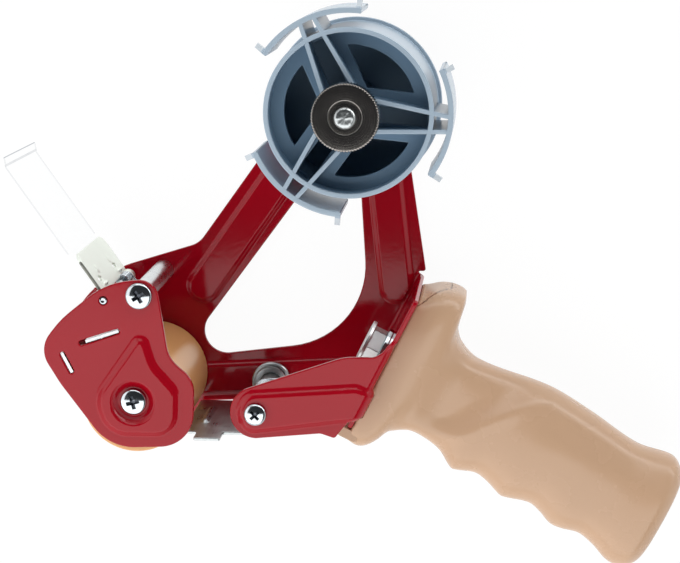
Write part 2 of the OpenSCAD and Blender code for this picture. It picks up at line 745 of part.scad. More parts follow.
module blade_rivets() {
    color(ZINC) at_short_leg() for (z = blade_rows)
        translate([blade_mid, -blade_t, z]) rotate([-90, 0, 0])
            rivet(rivet_r, rivet_head_r, rivet_head_h, blade_t + bracket_t);
}

// Flap: bracket on its pin, clear film and rivets; +X runs along the flap, +Y to the film's side
knuckle_r = pin_d / 2 + run_gap + bracket_t;
bracket_room = 2;
bracket_w = tape_w - bracket_room;
bracket_z0 = z_mid - bracket_w / 2;
knuckle_w = 4;
lip_h = 2;
bracket_round = 5;
film_w = bracket_w - 2 * bracket_t - 0.4;
flap_rows = [z_mid - film_w / 4, z_mid + film_w / 4];
flap_rivet_in = 9;
flap_rivet_x = bracket_len - flap_rivet_in;
film_tip = 3.4;
film_tip_lean = 24;
film_neck = 1.5;
module at_flap() { translate([flap_at[0], flap_at[1], 0]) rotate(flap_lean) children(); }
module flap_bracket() {
    plate_x = knuckle_r + 0.6;
    color(ZINC) at_flap() difference() {
        union() {
            translate([0, bracket_t / 2, z_mid]) rotate([90, 0, 0]) linear_extrude(bracket_t)
                polygon(rounded([
                    [plate_x, -bracket_w / 2, 0], [bracket_len, -bracket_w / 2, bracket_round],
                    [bracket_len, bracket_w / 2, bracket_round], [plate_x, bracket_w / 2, 0]
                ]));
            for (z = [bracket_z0, bracket_z0 + bracket_w - bracket_t])
                translate([plate_x, 0, z]) cube([bracket_len - plate_x - bracket_round, lip_h, bracket_t]);
            for (z = [bracket_z0, bracket_z0 + bracket_w - knuckle_w]) {
                translate([0, 0, z]) cylinder(r = knuckle_r, h = knuckle_w);
                translate([0, -bracket_t / 2, z]) cube([plate_x + through, bracket_t, knuckle_w]);
            }
        }
        translate([0, 0, bracket_z0 - through])
            cylinder(r = pin_d / 2 + run_gap, h = bracket_w + 2 * through);
        for (z = flap_rows) translate([flap_rivet_x, -through, z]) rotate([-90, 0, 0])
            cylinder(r = rivet_r + fit_gap, h = 2 * through + bracket_t);
    }
}
module wiper_flap() {
    start = knuckle_r + 1.2;
    bend = flap_len - film_tip;
    tip = [bend, 0] + film_tip * [cos(film_tip_lean), -sin(film_tip_lean)];
    neck_x = bracket_len + film_neck;
    color(CLEAR) at_flap() difference() {
        translate([0, bracket_t / 2, z_mid - tape_w / 2]) linear_extrude(tape_w)
            polygon([[start, 0], [bend, 0], tip, tip + film_t * [sin(film_tip_lean), cos(film_tip_lean)],
                [bend + film_t * tan(film_tip_lean / 2), film_t], [start, film_t]]);
        for (z = [z_mid - film_w / 2 - tape_w, z_mid + film_w / 2])
            translate([0, -through, z]) cube([neck_x, bracket_t + film_t + 2 * through, tape_w]);
        for (z = flap_rows) translate([flap_rivet_x, 0, z]) rotate([-90, 0, 0])
            cylinder(r = rivet_r + fit_gap, h = bracket_t + film_t + through);
    }
}
module flap_rivets() {
    color(ZINC) at_flap() for (z = flap_rows) translate([flap_rivet_x, -bracket_t / 2, z])
        rotate([-90, 0, 0]) rivet(rivet_r, rivet_head_r, rivet_head_h, bracket_t + film_t);
}
module flap_pin() { color(ZINC) rod(flap_at, pin_d / 2, tail_sink, z_out + tail_sink); }

// Springs: one unbroken tube along a helix with two straight legs
function helix(r, pitch, turns, start) =
    [for (i = [0:ceil(turns * 8)])
        let (k = min(i / 8, turns)) [r * cos(start + 360 * k), r * sin(start + 360 * k), pitch * k]];
function legged(path, leg) =
    let (n = len(path), a = unit(path[0] - path[1]), b = unit(path[n - 1] - path[n - 2]))
    concat(leg == 0 ? [] : [path[0] + leg * a], path, leg == 0 ? [] : [path[n - 1] + leg * b]);
function tube_ring(path, i, r, n) =
    let (
        t = unit(path[min(i + 1, len(path) - 1)] - path[max(i - 1, 0)]),
        s = unit(cross(t, [0, 0, 1])), u = cross(s, t)
    )
    [for (j = [0:n - 1]) path[i] + r * (cos(360 * j / n) * s + sin(360 * j / n) * u)];
module wire(path, d) {
    n = 6;
    polyhedron([for (i = [0:len(path) - 1]) each tube_ring(path, i, d / 2, n)], skin_faces(len(path), n),
        convexity = 10);
}
function least_gap(path, d) =
    min([for (i = [0:len(path) - 1], j = [i + 5:1:len(path) - 1]) norm(path[i] - path[j])]) - d;

coil_gap = 0.6;
coil_pitch = spring_wire + coil_gap;
coil_room = 0.45;
flap_coil_r = pin_d / 2 + coil_room + spring_wire / 2;
flap_turns = 5.25;
flap_coil_z = bracket_z0 + knuckle_w + side_gap + spring_wire;
flap_leg = 6;
flap_path = legged(helix(flap_coil_r, coil_pitch, flap_turns, flap_lean - 90), flap_leg);
module flap_spring() {
    color(ZINC) translate([flap_at[0], flap_at[1], flap_coil_z]) wire(flap_path, spring_wire);
}
rear_coil_r = rod_d / 2 + coil_room + spring_wire / 2;
rear_turns = 6.25;
rear_leg = 7;
rear_path = legged(helix(rear_coil_r, coil_pitch, rear_turns, 90), rear_leg);
module retainer_spring() {
    color(ZINC) translate([rear_at[0], rear_at[1], z_mid - rear_turns * coil_pitch / 2])
        wire(rear_path, spring_wire);
}
brake_turns = 2.5;
brake_coil_room = 2.4;
brake_coil_r = thread_d / 2 + brake_coil_room;
brake_path = helix(brake_coil_r, (brake_spring_h - brake_wire) / brake_turns, brake_turns, 0);
module brake_spring() {
    color(ZINC) translate([0, 0, spring_z + brake_wire / 2]) wire(brake_path, brake_wire);
}
echo(flap_spring_gap = least_gap(flap_path, spring_wire));
echo(retainer_spring_gap = least_gap(rear_path, spring_wire));
echo(brake_spring_gap = least_gap(brake_path, brake_wire));

// Tape retainer: plate under the rear pin, two ears and a turned-down tab
retainer_drop = 8.4;
retainer_clear = 18.55;
retainer_back = 5;
retainer_x = [roller_at[0] + retainer_clear - rear_at[0], retainer_back];
retainer_w = tape_w;
ear_in = 3;
ear_wall = 2.6;
ear_r = rod_d / 2 + ear_wall;
tab_x = [-24, -14.5];
tab_drop = 2.4;
burr_at = [-20, retainer_w / 2 + 8];
burr_len = 5;
burr_w = 3;
burr_lean = 28;
module tape_retainer() {
    z0 = z_mid - retainer_w / 2;
    color(ZINC) translate([rear_at[0], rear_at[1], z0]) difference() {
        union() {
            translate([retainer_x[0], -retainer_drop - bracket_t, 0])
                cube([retainer_x[1] - retainer_x[0], bracket_t, retainer_w]);
            for (z = [ear_in, retainer_w - ear_in - bracket_t]) {
                translate([0, 0, z]) cylinder(r = ear_r, h = bracket_t);
                translate([-ear_r, -retainer_drop - bracket_t / 2, z])
                    cube([2 * ear_r - 2, retainer_drop, bracket_t]);
            }
            translate([tab_x[0], -retainer_drop - bracket_t - tab_drop, retainer_w - bracket_t])
                cube([tab_x[1] - tab_x[0], tab_drop + bracket_t, bracket_t]);
            translate([burr_at[0], -retainer_drop - bracket_t / 2, burr_at[1]]) rotate(burr_lean)
                cube([burr_len, bracket_t, burr_w]);
        }
        translate([0, 0, -through]) cylinder(r = rod_d / 2 + run_gap, h = retainer_w + 2 * through);
    }
}

main_frame();
front_side_plate();
handle_grip();
handle_bolt();
handle_washer();
handle_insert();
hub_spindle();
roller_axle();
roller_screw();
roller_washers();
upper_tie_rod();
upper_screw();
rear_cross_pin();
rear_pin_collar();
arm_screw();
flap_pin();
blade_holder();
cutter_blade();
blade_rivets();
tape_hub();
hub_bush();
friction_washer();
pressure_washer();
brake_spring();
thrust_washer();
brake_nut();
roller_tyre();
roller_core();
roller_bushes();
flap_bracket();
wiper_flap();
flap_rivets();
flap_spring();
tape_retainer();
retainer_spring();
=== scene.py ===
# %% [markdown]
# # A handheld packing-tape dispenser
# The imported CAD model comes in first, as a fixed frame in metres. Every piece below is built round it in the
# same frame: +X runs from the roller to the grip, +Y from the grip to the hub, and +Z out of the far plate.

# %% Load the frame
import math

import bmesh
import bpy
import numpy as np
from mathutils import Matrix, Vector
from mathutils.geometry import delaunay_2d_cdt


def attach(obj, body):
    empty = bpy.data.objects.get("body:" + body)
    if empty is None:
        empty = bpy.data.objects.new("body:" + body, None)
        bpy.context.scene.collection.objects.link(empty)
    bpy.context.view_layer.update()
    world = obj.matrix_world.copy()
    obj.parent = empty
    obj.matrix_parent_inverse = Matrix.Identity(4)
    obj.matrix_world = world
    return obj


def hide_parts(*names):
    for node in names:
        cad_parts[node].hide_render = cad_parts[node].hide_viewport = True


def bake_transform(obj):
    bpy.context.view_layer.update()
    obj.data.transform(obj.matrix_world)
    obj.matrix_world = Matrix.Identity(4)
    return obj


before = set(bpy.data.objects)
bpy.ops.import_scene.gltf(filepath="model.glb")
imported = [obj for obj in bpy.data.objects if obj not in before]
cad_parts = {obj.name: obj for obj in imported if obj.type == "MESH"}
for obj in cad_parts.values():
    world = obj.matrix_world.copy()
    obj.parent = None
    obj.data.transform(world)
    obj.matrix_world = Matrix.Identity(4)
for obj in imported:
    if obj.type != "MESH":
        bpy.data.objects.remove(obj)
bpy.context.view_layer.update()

scene = bpy.context.scene

# %% [markdown]
# ## Effects that several finishes share
# Lacquer, plated steel, turned steel and moulded plastic each have a texture of their own. An image could
# carry it, but nodes stay sharp at any distance. Each texture is a node group with the same two outputs:
# Tone moves the colour and the roughness, and Height feeds a bump.
# Two groups paint light instead of a texture: shade inside the hub's drum with a highlight on its hooks, and shade
# lines on the flap's edges.

# %% A helper that starts a node group
def effect_group(name, inputs):
    """New group with inputs {label: float or vector}, the outputs Tone and Height, and places in object space."""
    tree = bpy.data.node_groups.new(name, "ShaderNodeTree")
    for label, value in inputs.items():
        kind = "NodeSocketVector" if isinstance(value, tuple) else "NodeSocketFloat"
        tree.interface.new_socket(label, in_out="INPUT", socket_type=kind).default_value = value
    for label in ("Tone", "Height"):
        tree.interface.new_socket(label, in_out="OUTPUT", socket_type="NodeSocketFloat")
    place = tree.nodes.new("ShaderNodeTexCoord").outputs["Object"]
    return tree, tree.nodes.new("NodeGroupInput").outputs, place


def put_out(tree, tone, height):
    """Ends a group with its two outputs."""
    out = tree.nodes.new("NodeGroupOutput")
    tree.links.new(tone, out.inputs["Tone"])
    tree.links.new(height, out.inputs["Height"])
    return tree


def node(tree, kind, links=(), **values):
    """New node; links are (output, input label) pairs, values set properties or input sockets."""
    made = tree.nodes.new(kind)
    for key, value in values.items():
        if hasattr(made, key):
            setattr(made, key, value)
        else:
            made.inputs[key.replace("_", " ")].default_value = value
    for source, label in links:
        tree.links.new(source, made.inputs[label])
    return made


def maths(tree, operation, a, b):
    """Math node on two outputs or numbers; gives its output."""
    made = tree.nodes.new("ShaderNodeMath")
    made.operation = operation
    for socket, value in zip(made.inputs, (a, b)):
        if isinstance(value, (int, float)):
            socket.default_value = value
        else:
            tree.links.new(value, socket)
    return made.outputs[0]


def noise(tree, place, scale, detail):
    """Value of a noise texture whose scale is an output or a number."""
    if isinstance(scale, float):
        return node(tree, "ShaderNodeTexNoise", [(place, "Vector")], Scale=scale, Detail=detail).outputs[0]
    return node(tree, "ShaderNodeTexNoise", [(place, "Vector"), (scale, "Scale")], Detail=detail).outputs[0]


def from_axis(tree, place):
    """Distance of a place from the Z axis."""
    flat = node(tree, "ShaderNodeVectorMath", [(place, 0)], operation="MULTIPLY")
    flat.inputs[1].default_value = (1.0, 1.0, 0.0)
    return node(tree, "ShaderNodeVectorMath", [(flat.outputs[0], 0)], operation="LENGTH").outputs["Value"]


# %% Lacquer ripple: the faint orange peel of baked enamel
def lacquer_ripple():
    tree, given, place = effect_group("lacquer ripple", {"Peel": 520.0, "Drift": 26.0})
    return put_out(tree, noise(tree, place, given["Drift"], 3.0), noise(tree, place, given["Peel"], 1.0))


RIPPLE = lacquer_ripple()


# %% Plated grain: fine rolling lines with a patchy passivated tint
def plated_grain():
    tree, given, place = effect_group("plated grain", {"Lines": (900.0, 900.0, 60.0), "Patch": 140.0})
    drawn = node(tree, "ShaderNodeVectorMath", [(place, 0), (given["Lines"], 1)], operation="MULTIPLY")
    lines = noise(tree, drawn.outputs[0], 1.0, 4.0)
    patch = node(tree, "ShaderNodeTexVoronoi", [(place, "Vector"), (given["Patch"], "Scale")])
    half = maths(tree, "MULTIPLY", lines, 0.45)
    spots = maths(tree, "MULTIPLY", patch.outputs["Distance"], 0.25)
    haze = maths(tree, "MULTIPLY", noise(tree, place, given["Patch"], 2.0), 0.45)
    return put_out(tree, maths(tree, "ADD", maths(tree, "ADD", half, spots), haze), lines)


GRAIN = plated_grain()


# %% Turned rings: the tool marks of a lathe round the Z axis
def turned_rings():
    tree, given, place = effect_group("turned rings", {"Pitch": 0.0007})
    wobble = noise(tree, place, 900.0, 3.0)
    turns = maths(tree, "DIVIDE", from_axis(tree, place), given["Pitch"])
    phase = maths(tree, "ADD", maths(tree, "MULTIPLY", turns, 2 * math.pi), maths(tree, "MULTIPLY", wobble, 5.0))
    wave = maths(tree, "MULTIPLY", maths(tree, "SINE", phase, 0.0), 0.3)
    rings = maths(tree, "ADD", wave, maths(tree, "MULTIPLY", wobble, 0.9))
    return put_out(tree, rings, rings)


RINGS = turned_rings()


# %% Moulded skin: the soft mottle and fine pores of moulded plastic and rubber
def moulded_skin():
    tree, given, place = effect_group("moulded skin", {"Mottle": 55.0, "Pores": 1500.0})
    return put_out(tree, noise(tree, place, given["Mottle"], 4.0), noise(tree, place, given["Pores"], 2.0))


SKIN = moulded_skin()


# %% Hub shade and highlight: painted shade inside the drum, mid on the front edges and the fingers, and a painted highlight that makes the hooks palest
def hub_shade_and_highlight():
    inputs = {"Drum": 0.0296, "Front": 0.0489, "Step": 0.0022, "Finger": 0.0335, "Hook": 0.0388, "Pores": 1500.0}
    tree, given, place = effect_group("hub painted shade and highlight", inputs)
    radius = from_axis(tree, place)
    height = node(tree, "ShaderNodeSeparateXYZ", [(place, "Vector")]).outputs["Z"]
    below = maths(tree, "DIVIDE", maths(tree, "SUBTRACT", given["Front"], height), given["Step"])
    # painted shade: faces inside the drum go darker the further they lie below its front
    deep = node(tree, "ShaderNodeClamp", [(below, "Value")]).outputs[0]
    within = maths(tree, "LESS_THAN", radius, given["Drum"])
    outside = maths(tree, "GREATER_THAN", radius, given["Finger"])
    # painted highlight: the hooks get the palest colour
    hooked = maths(tree, "GREATER_THAN", radius, given["Hook"])
    pale = maths(tree, "ADD", maths(tree, "ADD", outside, hooked), 1.0)
    tone = maths(tree, "DIVIDE", maths(tree, "SUBTRACT", pale, maths(tree, "MULTIPLY", deep, within)), 3.0)
    return put_out(tree, tone, noise(tree, place, given["Pores"], 2.0))


HUB_SHADE_AND_HIGHLIGHT = hub_shade_and_highlight()


# %% Flap edge shade: painted grey shade along the edges, the bend and the bent tip of a strip that leans on a pin
def flap_edge_shade():
    inputs = {"Pin": (-0.0905, -0.0695, 0.0275), "Lean": (0.0, 0.0, math.radians(125)), "Half": 0.02375,
              "Tip": 0.0637, "Bend": 0.0612, "Edge": 0.3, "Haze": 90.0}
    tree, given, place = effect_group("flap painted edge shade", inputs)
    own = node(tree, "ShaderNodeMapping", [(place, "Vector"), (given["Pin"], "Location"),
                                           (given["Lean"], "Rotation")], vector_type="TEXTURE")
    parts = node(tree, "ShaderNodeSeparateXYZ", [(own.outputs[0], "Vector")]).outputs
    # painted shade lines: the side edges, the tip past the bend, and a thin line on the bend
    side = maths(tree, "GREATER_THAN", maths(tree, "ABSOLUTE", parts["Z"], 0.0), given["Half"])
    tip = maths(tree, "GREATER_THAN", parts["X"], given["Tip"])
    off = maths(tree, "ABSOLUTE", maths(tree, "SUBTRACT", parts["X"], given["Bend"]), 0.0)
    crease = maths(tree, "MULTIPLY", maths(tree, "LESS_THAN", off, 0.0004), 0.3)
    lines = maths(tree, "MAXIMUM", maths(tree, "MULTIPLY", side, given["Edge"]),
                  maths(tree, "MAXIMUM", maths(tree, "MULTIPLY", tip, 0.6), crease))
    haze = noise(tree, place, given["Haze"], 2.0)
    clear = maths(tree, "SUBTRACT", 1.05, maths(tree, "MULTIPLY", haze, 0.2))
    return put_out(tree, maths(tree, "SUBTRACT", clear, lines), haze)


FLAP_EDGE_SHADE = flap_edge_shade()
print("effects", [g.name for g in (RIPPLE, GRAIN, RINGS, SKIN, HUB_SHADE_AND_HIGHLIGHT, FLAP_EDGE_SHADE)])

# %% [markdown]
# ## The finishes
# A finish is one Principled shader. Its effect's Tone runs through a few colours and shifts the roughness, and its
# Height bends the light a little. What is the same all over a surface is set straight on the shader's sockets.

# %% A helper that makes a finish
def finish(name, shades, rough, effect, values=None, bump=(0.1, 0.0002), tone=(0.3, 0.7), **sockets):
    """Material whose colour goes through shades and roughness over rough with the effect's Tone."""
    made = bpy.data.materials.new(name)
    made.use_nodes = True
    tree = made.node_tree
    shader = tree.nodes["Principled BSDF"]
    skin = tree.nodes.new("ShaderNodeGroup")
    skin.node_tree = effect
    for label, value in (values or {}).items():
        skin.inputs[label].default_value = value
    ramp = node(tree, "ShaderNodeValToRGB", [(skin.outputs["Tone"], "Fac")])
    stops = ramp.color_ramp.elements
    while len(stops) < len(shades):
        stops.new(0.5)
    for k, (stop, colour) in enumerate(zip(stops, shades)):
        stop.position = tone[0] + (tone[1] - tone[0]) * k / (len(shades) - 1)
        stop.color = (*colour, 1.0)
    spread = node(tree, "ShaderNodeMapRange", [(skin.outputs["Tone"], "Value")])
    for label, value in zip(("From Min", "From Max", "To Min", "To Max"), (*tone, *rough)):
        spread.inputs[label].default_value = value
    dent = node(tree, "ShaderNodeBump", [(skin.outputs["Height"], "Height")], Strength=bump[0], Distance=bump[1])
    tree.links.new(ramp.outputs["Color"], shader.inputs["Base Color"])
    tree.links.new(spread.outputs["Result"], shader.inputs["Roughness"])
    tree.links.new(dent.outputs["Normal"], shader.inputs["Normal"])
    for label, value in sockets.items():
        shader.inputs[label.replace("_", " ")].default_value = value
    return made


# %% Red baked enamel on the pressed steel
ENAMEL = finish("red enamel", [(0.325, 0.002, 0.0095), (0.350, 0.0022, 0.011)], (0.07, 0.11), RIPPLE,
                bump=(0.03, 0.0004), IOR=1.37)

# %% A helper for metals
def metal(name, shades, rough, effect=GRAIN, values=None, bump=0.05, **sockets):
    """Finish of a bare or plated metal."""
    return finish(name, shades, rough, effect, values, (bump, 0.0001), Metallic=1.0, **sockets)


# %% Zinc plate: sheet and rods, bright screws, a frosted bolt, a pale flap bracket, painted shade in the screw recesses and dull pins
ROUND_GRAIN = {"Lines": (500.0, 500.0, 500.0)}
ZINC = metal("zinc plate", [(0.58, 0.61, 0.63), (0.76, 0.78, 0.79)], (0.22, 0.32), bump=0.06)
BRIGHT = metal("bright zinc screw", [(0.46, 0.50, 0.53), (0.55, 0.59, 0.62)], (0.09, 0.15), GRAIN, ROUND_GRAIN)
FROSTED = metal("frosted zinc", [(0.66, 0.70, 0.71), (0.80, 0.83, 0.83)], (0.34, 0.46), GRAIN, ROUND_GRAIN, 0.06)
# Its darkest colour is painted shade on the bracket's near and far edges
PALE = metal("pale passivated zinc", [(0.20, 0.20, 0.17), (0.80, 0.84, 0.78), (0.90, 0.94, 0.87)], (0.36, 0.5), FLAP_EDGE_SHADE,
             {"Half": 0.0226, "Tip": 1.0, "Bend": 1.0, "Edge": 0.8}, tone=(0.1, 0.95))
# Painted shade: a dark zinc for the faces inside the screws' cross recesses
RECESS_SHADE = metal("zinc with painted recess shade", [(0.09, 0.10, 0.12), (0.15, 0.165, 0.19)], (0.3, 0.4))
DULL = metal("dull zinc", [(0.36, 0.38, 0.39), (0.52, 0.55, 0.55)], (0.24, 0.34), bump=0.08)

# %% Turned and hardened steel, and bronze
TURNED = metal("turned steel", [(0.30, 0.28, 0.26), (0.35, 0.33, 0.31)], (0.14, 0.19), RINGS, {"Pitch": 0.0009}, 0.012,
               tone=(0.2, 0.8))
BLADE = metal("hardened blade steel", [(0.40, 0.41, 0.42), (0.58, 0.59, 0.60)], (0.2, 0.3), GRAIN,
              {"Lines": (80.0, 80.0, 900.0)}, 0.1)
BRONZE = metal("sintered bronze", [(0.40, 0.24, 0.09), (0.56, 0.36, 0.15)], (0.35, 0.5), SKIN, bump=0.2)

# %% Moulded plastics, rubber and fibre
# Painted shade inside the drum, the plain blue of the front edges and the fingers, and a painted highlight on the
# hooks
HUB_COLOURS_WITH_PAINTED_LIGHT = [(0.165, 0.265, 0.37), (0.40, 0.50, 0.595), (0.40, 0.495, 0.585), (0.60, 0.66, 0.71)]
HUB_PLASTIC = finish("hub plastic", HUB_COLOURS_WITH_PAINTED_LIGHT, (0.3, 0.2), HUB_SHADE_AND_HIGHLIGHT, bump=(0.03, 0.0001), tone=(0.0, 1.0), IOR=1.45)
GRIP_PLASTIC = finish("grip plastic", [(0.545, 0.350, 0.222), (0.552, 0.355, 0.226)], (0.24, 0.30), SKIN,
                      bump=(0.008, 0.0001), IOR=1.44)
RUBBER = finish("roller rubber", [(0.74, 0.385, 0.150), (0.765, 0.405, 0.162)], (0.26, 0.34), SKIN,
                {"Mottle": 16.0}, bump=(0.006, 0.0001), IOR=1.5)
NYLON = finish("white nylon", [(0.66, 0.65, 0.60), (0.76, 0.75, 0.71)], (0.3, 0.4), SKIN)
FIBRE = finish("brown fibre", [(0.10, 0.055, 0.03), (0.20, 0.12, 0.07)], (0.55, 0.75), SKIN,
               {"Mottle": 700.0}, bump=(0.4, 0.0002))
# The first colour is painted grey shade along the film's side edges, its bend and its tip
FILM = finish("clear film", [(0.25, 0.28, 0.33), (0.985, 0.99, 0.992)], (0.0, 0.02), FLAP_EDGE_SHADE, bump=(0.005, 0.0001),
              tone=(0.0, 0.9), IOR=1.008, Transmission_Weight=1.0)
print("finishes", len(bpy.data.materials))

# %% [markdown]
# ## Shapes in millimetres
# The helpers below make closed shells as vertex and face lists in millimetres. A piece joins the shells that
# are one part on the real thing. Modelling by hand would do too, but named measures keep the pieces on the CAD.

# %% Outlines: corners with radii, even spacing, outward directions
SIDE_SHARE, MITRE_LIMIT = 0.49, 0.6


def unit(v):
    return v / np.linalg.norm(v)


def heading(angle):
    """Unit vector at an angle in the plane."""
    return np.array([math.cos(angle), math.sin(angle)])


def rounded(corners, step=5.0):
    """Outline through corners (x, y, radius), each turned in steps of about step degrees."""
    loop, count = [], len(corners)
    for i in range(count):
        a, b, c = (np.array(corners[(i + k) % count][:2], float) for k in (-1, 0, 1))
        radius = corners[i][2]
        if radius == 0:
            loop.append(b)
            continue
        u, v = unit(a - b), unit(c - b)
        half = math.acos(np.clip(u @ v, -1, 1)) / 2
        fit = min(radius, math.tan(half) * SIDE_SHARE * min(np.linalg.norm(a - b), np.linalg.norm(c - b)))
        centre = b + unit(u + v) * fit / math.sin(half)
        first = b + u * fit / math.tan(half) - centre
        turn = math.copysign(math.pi - 2 * half, np.cross(b - a, c - b))
        start = math.atan2(first[1], first[0])
        steps = max(2, math.ceil(abs(math.degrees(turn)) / step))
        for k in range(steps + 1):
            angle = start + turn * k / steps
            loop.append(centre + fit * heading(angle))
    return np.array(loop)


def spaced(loop, gap):
    """The closed outline with points added so that no edge is longer than gap."""
    made = []
    for a, b in zip(loop, np.roll(loop, -1, axis=0)):
        steps = max(1, math.ceil(np.linalg.norm(b - a) / gap))
        made += [a + (b - a) * k / steps for k in range(steps)]
    keep = [p for p, q in zip(made, made[1:] + made[:1]) if np.linalg.norm(p - q) > 1e-4]
    return np.array(keep)


def even(corners, step, gap):
    """Rounded outline with its points evenly spaced."""
    return spaced(rounded(corners, step), gap)


def outward(loop):
    """Mitred right-hand directions: away from the metal on an outer outline and on a clockwise hole."""
    ahead = np.roll(loop, -1, axis=0) - loop
    ahead /= np.linalg.norm(ahead, axis=1)[:, None]
    side = np.stack([ahead[:, 1], -ahead[:, 0]], axis=1)
    mean = side + np.roll(side, 1, axis=0)
    mean /= np.maximum(np.linalg.norm(mean, axis=1), 1e-6)[:, None]
    return mean / np.maximum((mean * side).sum(1), MITRE_LIMIT)[:, None]


def circle(at, radius, gap=0.8, hole=False):
    """Round outline, clockwise if it is a hole."""
    steps = max(16, math.ceil(2 * math.pi * radius / gap))
    turns = np.linspace(0, 2 * math.pi, steps, endpoint=False)
    ring = np.array(at) + radius * np.stack([np.cos(turns), np.sin(turns)], axis=1)
    return ring[::-1] if hole else ring


# %% Inside tests and depth inside an outline
CHUNK = 2000


def inside(points, loops):
    """Which points lie in the region that the outlines bound."""
    count = np.zeros(len(points), int)
    for loop in loops:
        a, b = loop, np.roll(loop, -1, axis=0)
        for chunk in range(0, len(points), CHUNK):
            p = points[chunk:chunk + CHUNK, None]
            over = (a[:, 1] > p[..., 1]) != (b[:, 1] > p[..., 1])
            rise = np.where(b[:, 1] == a[:, 1], 1e-12, b[:, 1] - a[:, 1])
            cut = a[:, 0] + (p[..., 1] - a[:, 1]) * (b[:, 0] - a[:, 0]) / rise
            count[chunk:chunk + CHUNK] += (over & (p[..., 0] < cut)).sum(1)
    return count % 2 == 1


def depth(points, loop):
    """Distance to the outline, positive inside."""
    a = loop
    run = np.roll(loop, -1, axis=0) - a
    size = (run * run).sum(1)
    far = np.empty(len(points))
    for chunk in range(0, len(points), CHUNK):
        rel = points[chunk:chunk + CHUNK, None] - a
        along = np.clip((rel * run).sum(2) / size, 0, 1)
        far[chunk:chunk + CHUNK] = np.linalg.norm(rel - along[..., None] * run, axis=2).min(1)
    return np.where(inside(points, [loop]), far, -far)


# %% Pressed forms: rows of points along the slope of each rib, boss or dimple
class Press:
    """A form pressed out of the sheet: its foot outline, its height and the width of its slope."""

    rows, slack, clear = 7, 0.12, 0.8

    def __init__(self, foot, height, width):
        self.foot, self.height, self.width = foot, height, width

    def lift(self, points):
        t = np.clip(depth(points, self.foot) / self.width, 0, 1)
        return self.height * t * t * (3 - 2 * t)

    def contours(self):
        away, made = outward(self.foot), []
        for k in range(self.rows):
            reach = self.width * k / (self.rows - 1)
            row = self.foot - reach * away
            made.append(row[np.abs(depth(row, self.foot) - reach) < self.slack])
        return np.concatenate(made)


def capsule(a, b, radius, gap=1.3):
    """Outline at one distance round a straight line."""
    a, b = np.array(a, float), np.array(b, float)
    lean = math.atan2(*(b - a)[::-1])
    steps = max(6, math.ceil(math.pi * radius / gap))
    ends = []
    for at, start in ((b, lean - math.pi / 2), (a, lean + math.pi / 2)):
        turns = start + np.linspace(0, math.pi, steps + 1)
        ends.append(at + radius * np.stack([np.cos(turns), np.sin(turns)], axis=1))
    return spaced(np.concatenate(ends), gap)


# %% The sheet shell: two skins and a rounded rim
def lattice(loops, gap, clear, presses=()):
    """Even points inside the outlines, clear of them and of the pressed slopes."""
    low, high = loops[0].min(0), loops[0].max(0)
    axes = [np.arange(low[k] + gap / 2, high[k], gap) for k in (0, 1)]
    points = np.stack(np.meshgrid(*axes, indexing="ij"), axis=-1).reshape(-1, 2)
    points = points[inside(points, loops)]
    for loop in loops:
        points = points[np.abs(depth(points, loop)) > clear]
    for press in presses:
        d = depth(points, press.foot)
        points = points[(d < -press.clear) | (d > press.width + press.clear)]
    return points


def sheet_shell(loops, place, thick, edge=0.4, arcs=3, points=None, presses=()):
    """Closed shell of a sheet. place(points) gives the middle surface and its normals for points of the blank."""
    inner = [loop - edge * outward(loop) for loop in loops]
    extra = [press.contours() for press in presses]
    extra = [row[inside(row, inner)] for row in extra]
    flat = np.concatenate(inner + extra + ([points] if points is not None and len(points) else []))
    edges, start = [], 0
    for loop in inner:
        edges += [(start + i, start + (i + 1) % len(loop)) for i in range(len(loop))]
        start += len(loop)
    found = delaunay_2d_cdt([Vector(p) for p in flat], edges, [], 0, 1e-4)
    spots = np.array([tuple(v) for v in found[0]])
    triangles = np.array([f for f in found[2] if len(f) == 3])
    triangles = triangles[inside(spots[triangles].mean(1), inner)]
    names = {old: new for new, group in enumerate(found[3]) for old in group}

    def lifted(at, level):
        middle, normal = place(at)
        raised = sum((press.lift(at) for press in presses), np.zeros(len(at)))
        return middle + normal * (raised + level)[:, None]

    def along(at, way):
        gap = lifted(at + 0.01 * way, 0.0) - lifted(at - 0.01 * way, 0.0)
        return gap / np.linalg.norm(gap, axis=1)[:, None]

    def facing(at):
        face = np.cross(along(at, np.array([1.0, 0.0])), along(at, np.array([0.0, 1.0])))
        face *= np.sign((face * place(at)[1]).sum(1))[:, None]
        return face / np.linalg.norm(face, axis=1)[:, None]

    count = len(spots)
    verts = [lifted(spots, np.full(count, thick / 2)), lifted(spots, np.full(count, -thick / 2))]
    normals = [facing(spots), -facing(spots)]
    faces = [tuple(t) for t in triangles] + [tuple(count + t[::-1]) for t in triangles]
    total, start = 2 * count, 0
    angles = np.linspace(0, math.pi / 2, arcs + 1)
    steps = [(math.sin(a), thick / 2 - edge + edge * math.cos(a), math.cos(a)) for a in angles[1:]]
    steps += [(out, -level, -lean) for out, level, lean in reversed(steps)]
    for loop in inner:
        n = len(loop)
        away = outward(loop)
        rows = [[names[start + i] for i in range(n)]]
        for out, level, lean in steps:
            verts.append(lifted(loop + edge * out * away, np.full(n, level)))
            normals.append(out * along(loop, away) + lean * facing(loop))
            rows.append(list(range(total, total + n)))
            total += n
        rows.append([count + k for k in rows[0]])
        for upper, lower in zip(rows, rows[1:]):
            faces += [(upper[i], lower[i], lower[(i + 1) % n], upper[(i + 1) % n]) for i in range(n)]
        start += n
    return np.concatenate(verts), faces, np.concatenate(normals)


def level_at(z):
    """Place a blank flat in the XY plane with its middle at height z."""
    return lambda at: (np.column_stack([at, np.full(len(at), z)]), np.tile((0.0, 0.0, 1.0), (len(at), 1)))


def slab(loops, z0, z1, edge=0.3, arcs=2):
    """Flat plate from z0 to z1 with rounded edges."""
    return sheet_shell(loops, level_at((z0 + z1) / 2), z1 - z0, edge, arcs)[:2]


